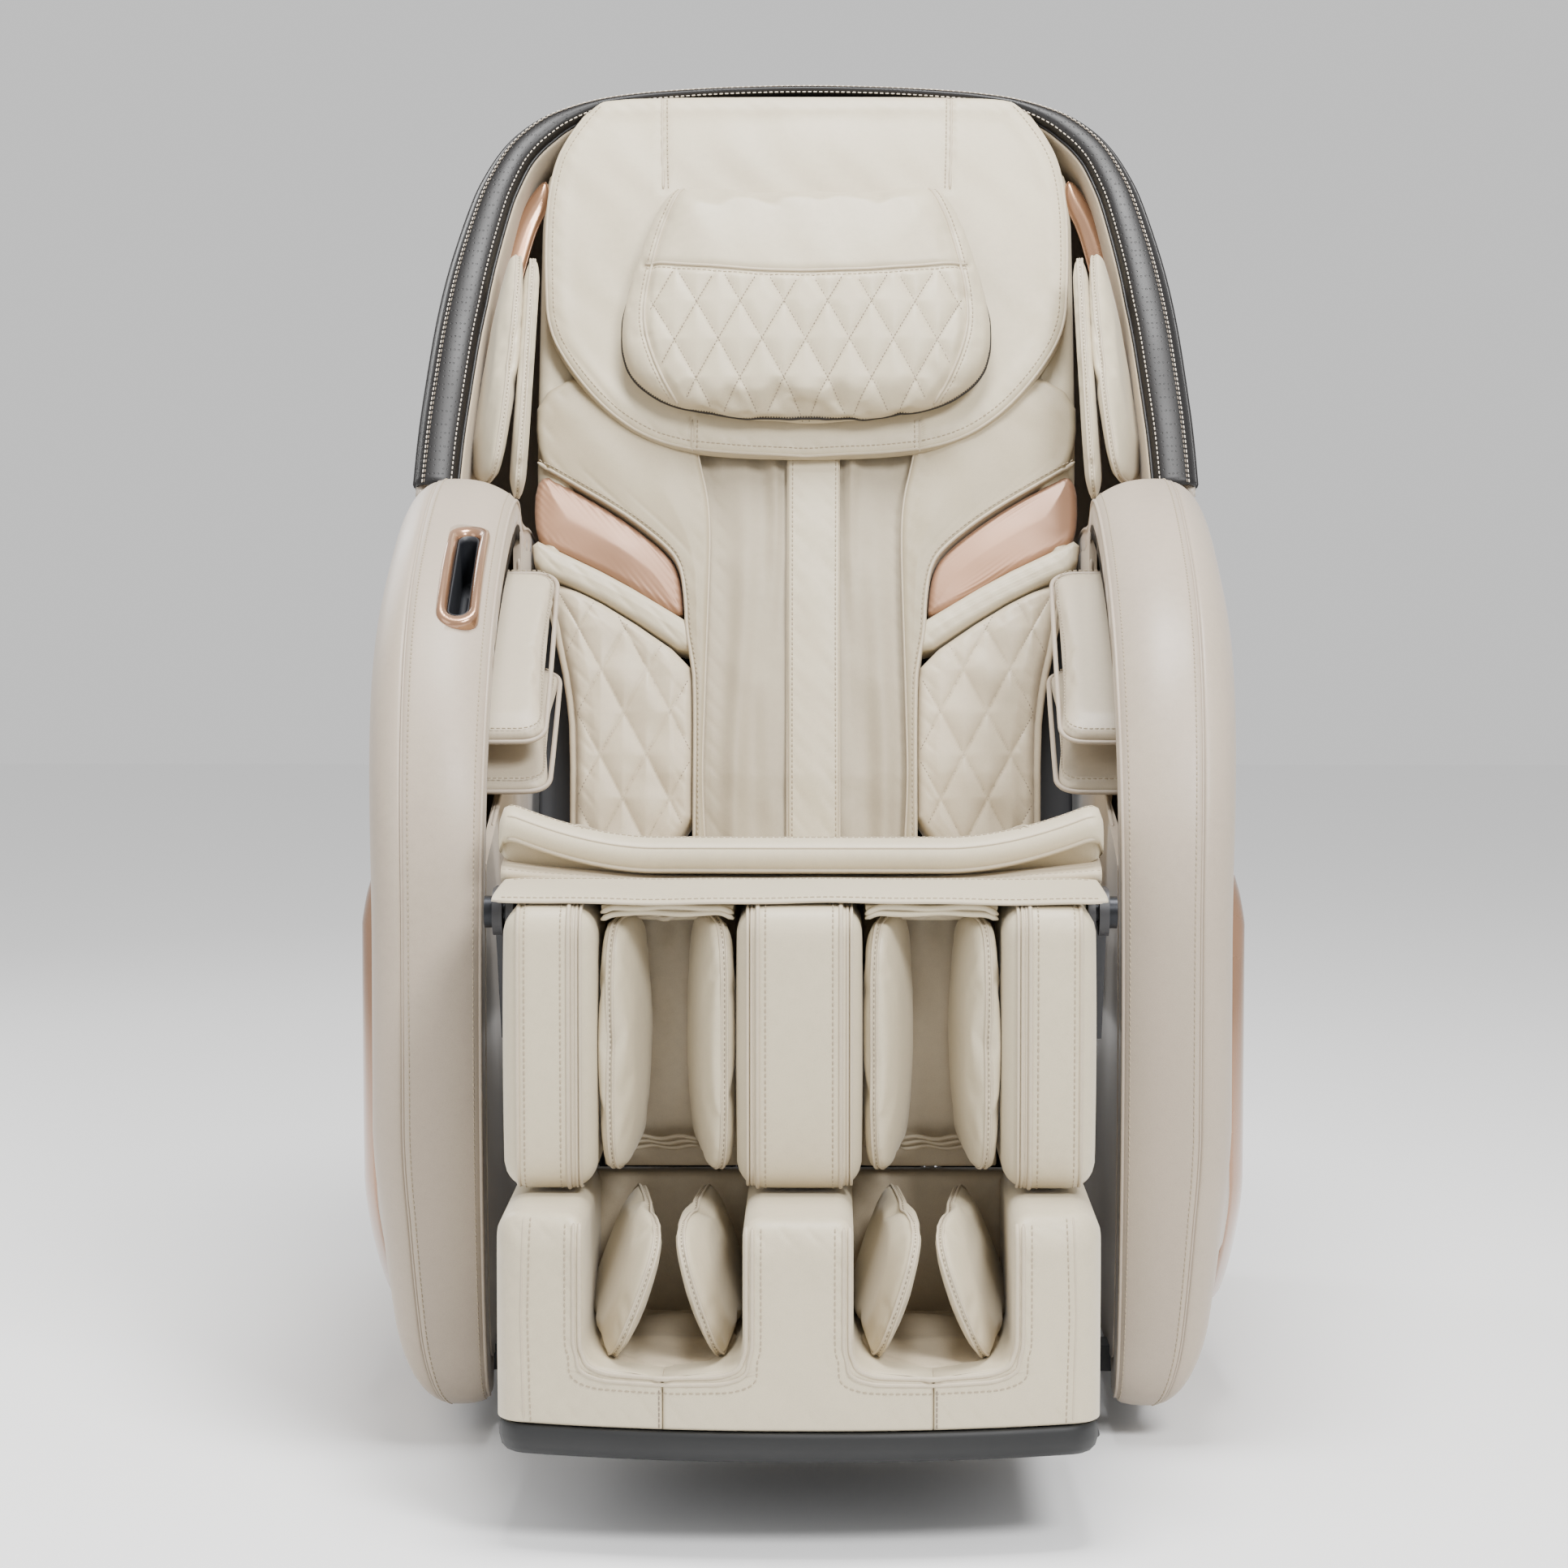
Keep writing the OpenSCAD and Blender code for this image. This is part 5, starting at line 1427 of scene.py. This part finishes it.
kf = int(np.argmin(np.abs(sec[:90, 0] + 372) + (sec[:90, 1] < 510) * 100))
stitch(on_seat(kf - 1, 0.3), "seat")
tube(on_seat(kf + 2, -0.6), 1.0, "seat")
kb = int(np.argmin(np.hypot(sec[:90, 0] + 387, sec[:90, 1] - 490.5)))
tube(on_seat(kb, 0.2) + [0, -0.0006, 0], 1.7, "seat")
# seams over the seat's top
for s in (1, -1):
    line = [(x, y) for x, y in ((150, 100), (150, -60), (155, -200), (168, -300), (186, -372))]
    L = resample(chaikin([(a * s, b) for a, b in line], 2, closed=False), 3.0)
    W_ = cast(ts_, wd(L[:, 0], L[:, 1], np.full(len(L), 700.0)), (0, 0, -1), 0.1)
    tube(W_, 1.5, "seat")
    L[:, 0] -= 6 * s
    stitch(cast(ts_, wd(L[:, 0], L[:, 1], np.full(len(L), 700.0)), (0, 0, -1), 0.2), "seat")


def curtain(name, prof, hw, body, mat, xfun, repl, nx=90, th=2.2):
    """a thin folded skirt across the chair; prof is (y, z)"""
    p = resample(chaikin(prof, 2, closed=False), n=40)
    R = []
    for x in np.linspace(-hw, hw, nx):
        dy, dz = xfun(x, np.linspace(0, 1, 40))
        R.append(wd(np.full(40, x), p[:, 0] + dy, p[:, 1] + dz))
    V, F = loft(R)
    ob = link(name, V, F, mat, body, ride=False)
    mod(ob, "SOLIDIFY", thickness=th / 1000, offset=0.0)
    apply_mods(ob)
    register(ob, body, repl)
    return ob, R


def wav(x, t):
    rise = 14 * np.clip((abs(x) - 90) / 150, 0, 1) ** 1.5
    return 1.2 * np.sin(x * 0.05) * t, rise * (1 - t * 0.6) + 0.6 * np.sin(x * 0.07 + 1) * t


ob, R1 = curtain("seat_skirt_upper", [(-352, 485.5), (-376, 485.3), (-385.5, 484), (-388, 480), (-384, 476.5), (-368, 475.5)], 245, "seat", "cream_lo", wav, "seat_lower_lip")
ed = np.array([r[16] for r in R1])
tube(ed, 1.6, "seat")
stitch(np.array([r[22] for r in R1]) + [0, -0.0012, 0], "seat", "thread")

# folded roll between the seat and the leg rest
roll = [(-376, 474), (-384, 474.5), (-389.5, 469), (-390.5, 458), (-390, 446), (-386, 438), (-379, 434), (-374, 436), (-373, 455)]
rp = resample(chaikin(roll, 2), n=48, closed=True)
R2 = []
for x in np.sin(np.linspace(-1, 1, 101) * math.pi / 2) * 120 + np.linspace(-1, 1, 101) * 118:
    e = max(0, abs(x) - 222) / 16
    k = 1 - 0.45 * min(1, e) ** 2
    c = np.array([-381, 456.0])
    q = c + (rp - c) * [k, 1 - 0.12 * min(1, e)]
    sag = 1.6 * math.sin(x * 0.021) + 0.8 * math.sin(x * 0.06 + 2)
    R2.append(wd(np.full(len(q), x), q[:, 0], q[:, 1] + sag * 0.6 + 3 * np.clip((abs(x) - 150) / 90, 0, 1)))
V, F = loft(R2, closed_ring=True)
link("knee_roll", V, F, "cream", "seat", repl="knee_flap_upper", pad=0.7)
kk = int(np.argmin(np.abs(rp[:, 1] - 470) + (rp[:, 0] > -384) * 50))
stitch(np.array([r[kk] for r in R2]) + [0, -0.0002, 0], "seat")
tube(np.array([r[int(np.argmax(rp[:, 1] - 0.3 * rp[:, 0]))] for r in R2]), 1.3, "seat")

# ================================================================== leg rest: calf block
def column(name, x0, x1, seams, repl=None):
    def fn(V):
        # bottom sags forward a little, top rear slopes
        z = V[:, 2]
        f = np.clip((V[:, 1] + 500) / -70, 0, 1)
        V[:, 1] -= 2.0 * f * np.sin(np.clip((z - 270) / 210, 0, 1) * math.pi)
        return V
    ob = soft_box(name, (x0, -570, 260), (x1, -404, 480), 21, "cream", "legrest", n=22, bulge=(2.5, 2.0, 1.0), fn=fn, repl=repl or (), pad=0.75)
    tr = tree(ob)
    zz = np.r_[np.linspace(290, 458, 60)]
    for x, kind in seams:
        # over the top, down the front and under
        pts = [(-420, 520), (-470, 520), (-520, 520)]
        W = []
        for y in np.linspace(-408, -552, 40):
            h = tr.ray_cast(Vector((x / 1000, (y + OY) / 1000, 0.56)), Vector((0, 0, -1)))
            if h[0] is not None:
                W.append(np.array(h[0] + h[1] * 0.0002))
        c = np.array([-530, 440.0])
        for a in np.linspace(0.15, math.pi / 2 - 0.05, 14):
            o = Vector((x / 1000, (c[0] - 90 * math.sin(a) + OY) / 1000, (c[1] + 90 * math.cos(a)) / 1000))
            h = tr.ray_cast(o, Vector((0, math.sin(a), -math.cos(a))))
            if h[0] is not None:
                W.append(np.array(h[0] + h[1] * 0.0002))
        for z in np.linspace(440, 306, 60):
            h = tr.ray_cast(Vector((x / 1000, -0.65, z / 1000)), Vector((0, 1, 0)))
            if h[0] is not None:
                W.append(np.array(h[0] + h[1] * 0.0002))
        c = np.array([-530, 306.0])
        for a in np.linspace(math.pi / 2 + 0.05, math.pi - 0.2, 12):
            o = Vector((x / 1000, (c[0] - 90 * math.sin(a) + OY) / 1000, (c[1] + 90 * math.cos(a)) / 1000))
            h = tr.ray_cast(o, Vector((0, math.sin(a), -math.cos(a))))
            if h[0] is not None:
                W.append(np.array(h[0] + h[1] * 0.0002))
        W = np.array(W)
        if kind == "s":
            stitch(W, "legrest")
        elif kind == "p":
            tube(W, 1.9, "legrest")
        elif kind == "z":
            tube(W, 1.3, "legrest"); tube(W + [0.0032, 0, 0], 1.3, "legrest"); tube(W - [0.0032, 0, 0], 1.3, "legrest")
    return ob


column("calf_column_center", -48, 48, [(-32, "p"), (32, "p"), (-36.5, "z"), (37, "z"), (-26, "s"), (26, "s")], ("calf_columns",))
column("calf_column_left", 157, 229, [(172, "z"), (178, "p"), (184, "s"), (212, "s"), (217, "p")])
column("calf_column_right", -229, -157, [(-172, "z"), (-178, "p"), (-184, "s"), (-212, "s"), (-217, "p")])


def calf_back(s, side):
    def wr(x, u, d):
        return 2.0 * np.sin(x * 0.09 + 0.3) * np.sin(u * 0.02) + 5 * np.exp(-((u - 452) / 14) ** 2) * np.sin(x * 0.13) ** 2 * 0.5
    r = Relief(mir([(49, 272), (49, 474), (156, 474), (156, 272)], s), lambda x, u: -446 + 10 * ((u - 372) / 100) ** 2, 38, plane=front_plane, rnd=6, it=0, quilt=wr, bulge=0)
    r.mesh("calf_rest_" + side, "cream_lo", "legrest", nx=50, nu=60, repl="calf_back_pad" if s > 0 else (), pad=0.5)
    # gathered band that closes the channel at the top
    for k in range(4):
        xx = np.linspace(56, 150, 60) * s
        zz = 466 + k * 3.6 + 1.4 * np.sin(xx * 0.13 + k) + 0.9 * np.sin(xx * 0.31 + 2 * k)
        yy = -470 - 22 * np.sin((np.abs(xx) - 56) / 94 * math.pi) - 2 * k
        tube(wd(xx, yy, zz), 2.3, "legrest")
    bnd = Relief(mir([(51, 462), (51, 479.5), (154, 479.5), (154, 462)], s), lambda x, u: -472 - 18 * np.sin((np.clip(np.abs(x), 56, 150) - 56) / 94 * math.pi), 40, plane=front_plane, rnd=5, it=0)
    bnd.mesh("channel_band_top_" + side, "cream", "legrest", nx=40, nu=10)
    # rolled edge right under the knee cover
    lo, hi = sorted((51 * s, 154 * s))
    soft_box("channel_roof_" + side, (lo, -546, 474.5), (hi, -476, 480.5), 2.5, "cream", "legrest", n=6)
    xx = np.linspace(51, 154, 60) * s
    for k in range(2):
        e_ = np.clip((np.abs(np.abs(xx) - 102.5) - 38) / 13, 0, 1) ** 2
        tube(wd(xx, -547.5 + 2.0 * k + 2 * e_, 478.2 - 4.6 * k - 5 * e_ + 0.7 * np.sin(xx * 0.11 + 2 * k)), 2.5, "legrest", "cream")
    # thin gathered strip at the bottom
    xx = np.linspace(80, 150, 40) * s
    for k in range(3):
        tube(wd(xx, -452 - 1.5 * k + 0 * xx, 276 + 4 * k + 1.2 * np.sin(xx * 0.2 + k)), 1.8, "legrest")


both(calf_back)
CALF = [(-444, 292), (-500, 276), (-538, 268), (-556, 284), (-562, 330), (-562, 420), (-556, 452), (-540, 468), (-500, 470), (-444, 462)]
leaf("calf_airbag_outer", CALF, 140, 22, 0, -10, 370, "legrest", None, coord="wd", cap=6)
tmp = leaf("calf_airbag_inner", CALF, 66, 24, 0, 12, 370, "legrest", None, coord="wd", cap=6)
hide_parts("calf_airbags")

# leather over the knee, from the seat on to the top of the calf block
KN = [(-374, 474), (-388, 477), (-394, 484.5), (-402, 488), (-420, 489.3), (-470, 488.8), (-520, 487.8), (-545, 486), (-556, 483), (-557, 481.4), (-540, 482), (-420, 482.5), (-402, 480.5), (-390, 472.5), (-374, 470)]
kp = resample(chaikin(KN, 2), n=90, closed=True)


def knee_x(ob, mat, pad=None, repl=None):
    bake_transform(ob)
    if repl:
        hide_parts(repl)


SPANS["knee"] = knee_x


def knee_pt(x, q):
    """a slightly slack sheet: the ends droop, the front edge waves"""
    e = np.clip((np.abs(x) - 222) / 18, 0, 1)
    f = np.clip((-420 - q[:, 0]) / 136, 0, 1)
    c = np.array([0, 484.0])
    zz_ = c[1] + (q[:, 1] - c[1]) * (1 - 0.3 * e)
    zz_ = zz_ + (0.9 * math.sin(x * 0.024 + 1) + 0.5 * math.sin(x * 0.067)) * (0.3 + 0.7 * f) * (1 - e) * 0.7
    yy_ = q[:, 0] + 2.0 * math.sin(x * 0.02 + 0.5) * f + 9 * e ** 2 * f
    return wd(np.full(len(q), x), yy_, zz_)


kx = np.sin(np.linspace(-1, 1, 121) * math.pi / 2) * 120 + np.linspace(-1, 1, 121) * 119
V, F = loft([knee_pt(x, kp) for x in kx], closed_ring=True)
kn = link("knee_cover", V, F, "cream", "legrest", ride=False)
knee_x(kn, "cream", None, "knee_flap_lower")


def along(y, up=1, lo_=0.0):
    k = int(np.argmin(np.abs(kp[:, 0] - y) + (0 if up else 1) * 0 + (kp[:, 1] < 484.2) * (100 if up else 0)))
    return np.array([knee_pt(x, kp[k:k + 1])[0] for x in np.linspace(-232, 232, 140)]) + [0, 0, lo_ / 1000]


stitch(along(-424, 1, 0.2), "knee", "thread")
stitch(along(-549, 1, 0.2), "knee", "thread")
tube(along(-402, 1, -0.5), 1.0, "knee")
kf_ = int(np.argmin(kp[:, 0]))
tube(np.array([knee_pt(x, kp[kf_:kf_ + 1])[0] for x in np.linspace(-236, 236, 140)]), 1.3, "knee")

for s, side in ((1, "left"), (-1, "right")):
    lo, hi = sorted((46 * s, 158 * s))
    soft_box("channel_bottom_strip_" + side, (lo, -434, 257.5), (hi, -429, 275), 2.0, "cream_lo", "legrest", n=6)

# ================================================================== leg rest: foot block
def fy(x):
    return -680 + 34 * np.abs(x / 230.0) ** 2.2 + 14 * np.clip((np.abs(x) - 205) / 25, 0, 1) ** 2.5


def e_in(z):
    """half width of the middle column, flaring into the bumper below the wells"""
    return 41.5 + 60 * (1 - np.clip(1 - (np.clip((172 - z) / 33, 0, 1)) ** 4.0, 0, 1) ** (1 / 4.0))


def e_out(z):
    return 161.5 - 60 * (1 - np.clip(1 - (np.clip((172 - z) / 33, 0, 1)) ** 4.0, 0, 1) ** (1 / 4.0))


zz = np.r_[139.002, 139.05, 139.3, 139.8, np.linspace(140.6, 172, 14), 200, 240]


def arc(cx, cz, r, a0, a1, n=7):
    a = np.radians(np.linspace(a0, a1, n))
    return [(cx + r * math.cos(q), cz + r * math.sin(q)) for q in a]


half_c = [(float(e_in(z)), z) for z in zz] + arc(41.5 - 13, 256 - 13, 13, 0, 90)
cen_poly = [(101.3, 97), (101.3, 120), (101.3, 138.9)] + half_c
cen_poly = cen_poly + [(-x, z) for x, z in cen_poly[::-1]]
cen_edge = half_c + [(-x, z) for x, z in half_c[::-1]]


def foot_f(x, z):
    return fy(x) + 3.0 * ((z - 180) / 80.0) ** 2 + 9 * np.clip((z - 225) / 31, 0, 1) ** 2


FC = Relief(cen_poly, foot_f, 270, plane=front_plane, rnd=10, it=0, edge_mask=cen_edge)
FC.mesh("foot_block_center", "cream", "footrest", nx=60, nu=70, repl=("foot_block",), pad=0.8)
FS = {}
for s, side in ((1, "left"), (-1, "right")):
    sd = [(float(e_out(z)), z) for z in zz] + arc(161.5 + 13, 256 - 13, 13, 180, 90) + arc(229.5 - 20, 256 - 20, 20, 90, 0)
    edge_ = mir(sd + [(229.5, 170), (229.5, 97)], s)
    poly = mir([(101.7, 97), (101.7, 120), (101.7, 138.9)] + sd + [(229.5, 170), (229.5, 97)], s)
    r = Relief(poly, foot_f, 262, plane=front_plane, rnd=10, it=0, edge_mask=edge_)
    r.mesh("foot_block_" + side, "cream", "footrest", nx=60, nu=70, pad=0.8)
    FS[s] = r
    # U-shaped welt and stitching round the mouth of the well
    zs = np.r_[np.linspace(250, 172, 14), np.linspace(170, 141, 16), 140.3, 139.8, 139.4]
    inner = [((e_in(z) - 3.0) * s, z - (2.5 if z < 150 else 0)) for z in zs]
    outer = [((e_out(z) + 3.0) * s, z - (2.5 if z < 150 else 0)) for z in zs[::-1]]
    u1 = np.array(inner + [(x * s, 136.0) for x in np.linspace(97, 106, 4)] + outer)

    def onfoot(line, lift):
        L = resample(line, 2.5)
        W = []
        for x, z in L:
            rr_ = FC if abs(x) < 101.5 else r
            W.append(front_plane(x, z, float(rr_.depth(np.array([x]), np.array([z]))[0]) - lift))
        return np.array(W)
    u1 = chaikin(u1, 1, closed=False)
    tube(onfoot(u1, 0.4), 2.1, "footrest")
    u2 = u1.copy()
    cwell = np.array([101.5 * s, 230.0])
    dd = u2 - cwell
    u2 = u2 + np.stack([np.sign(dd[:, 0]) * np.clip(np.abs(dd[:, 0]) / 30, 0, 1) * 4.4, np.where(u2[:, 1] < 150, -4.4, 0)], 1)
    tube(onfoot(u2, 0.2), 1.6, "footrest")
    u3 = u2 + np.stack([np.sign(dd[:, 0]) * np.clip(np.abs(dd[:, 0]) / 30, 0, 1) * 6.5, np.where(u2[:, 1] < 150, -6.5, 0)], 1)
    stitch(onfoot(u3, 0.2), "footrest")
    # vertical seam under each well and down the outer side
    stitch(onfoot([(104 * s, 128), (104 * s, 98)], 0.3), "footrest", "threaddark", pitch=4)
    tube(onfoot([(207 * s, 253), (209 * s, 180), (207 * s, 98)], -0.4), 1.0, "footrest")
    stitch(onfoot([(202 * s, 253), (204 * s, 180), (202 * s, 98)], 0.2), "footrest")

    # sole of the well with the arch and roller bumps
    def sole(x, y, d, s=s):
        xl = (np.abs(x) - 101.5) / 57
        arch = -9 * np.exp(-((y + 500) / 30) ** 2) * np.exp(-((xl + 0.1) / 0.75) ** 2)
        heel = 5 * np.exp(-((y + 455) / 22) ** 2) * np.exp(-(xl / 0.7) ** 2)
        ball = -4 * np.exp(-((y + 565) / 16) ** 2)
        rim_ = -7 * np.clip(np.abs(xl) - 0.55, 0, 1) ** 1.3 * 2
        return (arch + heel + ball + rim_) * np.clip(d / 8, 0, 1)
    sp = mir([(43.5, -640), (43.5, -432), (159.5, -432), (159.5, -640)], s)
    so = Relief(sp, lambda x, y: -141 + 4.0 * np.clip((-y - 612) / 26, 0, 1) ** 2, 8, plane=top_plane, rnd=5, it=1, quilt=sole)
    so.mesh("sole_pad_" + side, "cream_lo", "footrest", nx=44, nu=70, pad=0.6)
    # rear wall of the well
    rw = Relief(mir([(36.5, 124), (36.5, 252), (166.5, 252), (166.5, 124)], s), lambda x, z: -428 + 0 * x, 26, plane=front_plane, rnd=8, it=0, bulge=4, bw=30)
    rw.mesh("well_back_" + side, "cream_lo", "footrest", nx=30, nu=30, pad=0.6)

FOOT = [(-440, 250), (-520, 256), (-610, 252), (-640, 244), (-655, 222), (-652, 180), (-636, 145), (-600, 142), (-500, 144), (-440, 146)]
leaf("foot_airbag_outer", FOOT, 150, 15, 20, 8, 142, "footrest", None, coord="wd", cap=6)
tmp = leaf("foot_airbag_inner", FOOT, 53, 15, -17, -6, 142, "footrest", None, coord="wd", cap=6)
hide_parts("foot_airbags")

# dark moulded base
n = 80
bx = np.linspace(-1, 1, n)
ringsB = []
for dz, ins in ((96, 3.0), (95, 1.2), (92, 0.4), (84, 0.0), (77, 2.5), (73.5, 7), (71.6, 13)):
    hw = 228 - ins
    xs_ = hw * np.sin(bx * math.pi / 2) * 0.35 + hw * bx * 0.65
    ys = -680 + 34 * np.abs(xs_ / 228.0) ** 2.2 + 20 * np.clip((np.abs(xs_) - 205) / 23, 0, 1) ** 2.5 + ins
    pts = np.vstack([np.stack([xs_, ys], 1), [(hw, -560), (hw, -470), (hw, -390), (hw - 8, -376), (0, -374), (-hw + 8, -376), (-hw, -390), (-hw, -470), (-hw, -560)]])
    ringsB.append(wd(pts[:, 0], pts[:, 1], np.full(len(pts), float(dz))))
V, F = loft(ringsB, closed_ring=True)
link("foot_base_cover", V, F, "base", "footrest", repl="foot_base")
for s in (1, -1):
    a = np.linspace(0, 2 * math.pi, 28, endpoint=False)
    R = []
    for r_, z_ in ((5.5, 96), (8, 97), (8, 394), (6.5, 395.6)):
        R.append(wd(190 * s + r_ * np.cos(a), -386 + r_ * np.sin(a), np.full(28, float(z_))))
    V, F = loft(R, closed_ring=True)
    link("foot_slide_rod_" + ("left" if s > 0 else "right"), V, F, "bright", "footrest")
    for x in (55, 141):
        soft_box("roller_bracket_%s_%d" % ("left" if s > 0 else "right", x), ((x if s > 0 else -x - 8), -555, 96), ((x + 8 if s > 0 else -x), -525, 118), 2, "base", "footrest", n=4)

flush()

# ------------------------------------------------------------------ floor and light
fl = link("floor", [(-9, -9, 0), (9, -9, 0), (9, 9, 0), (-9, 9, 0)], [(0, 1, 2, 3)], "cream", None, ride=False, smooth=False)
mfl, ntf, bf = newmat("floor_plain")
bf.inputs["Base Color"].default_value = (0.9, 0.9, 0.9, 1); bf.inputs["Roughness"].default_value = 0.6
fl.data.materials.clear(); fl.data.materials.append(mfl)
world = bpy.data.worlds.new("world"); scene.world = world
world.use_nodes = True
world.node_tree.nodes["Background"].inputs[0].default_value = (1, 1, 1, 1)
world.node_tree.nodes["Background"].inputs[1].default_value = 0.82


def area(name, loc, target, size, power, col=(1, 1, 1)):
    ld = bpy.data.lights.new(name, "AREA"); ld.shape = "DISK"; ld.size = size; ld.energy = power; ld.color = col
    ob = bpy.data.objects.new(name, ld); scene.collection.objects.link(ob)
    ob.location = loc
    ob.rotation_euler = (Vector(target) - Vector(loc)).to_track_quat("-Z", "Y").to_euler()
    return ob


area("key", (1.5, -2.9, 2.9), (0, 0, 0.7), 1.2, 172)
area("fill", (-2.4, -2.3, 1.6), (0, 0, 0.6), 2.2, 30)
area("top", (0.1, -0.5, 3.1), (0, 0, 0.8), 1.1, 120)
area("back_left", (-1.8, 2.2, 2.0), (0, 0, 0.8), 1.2, 30)
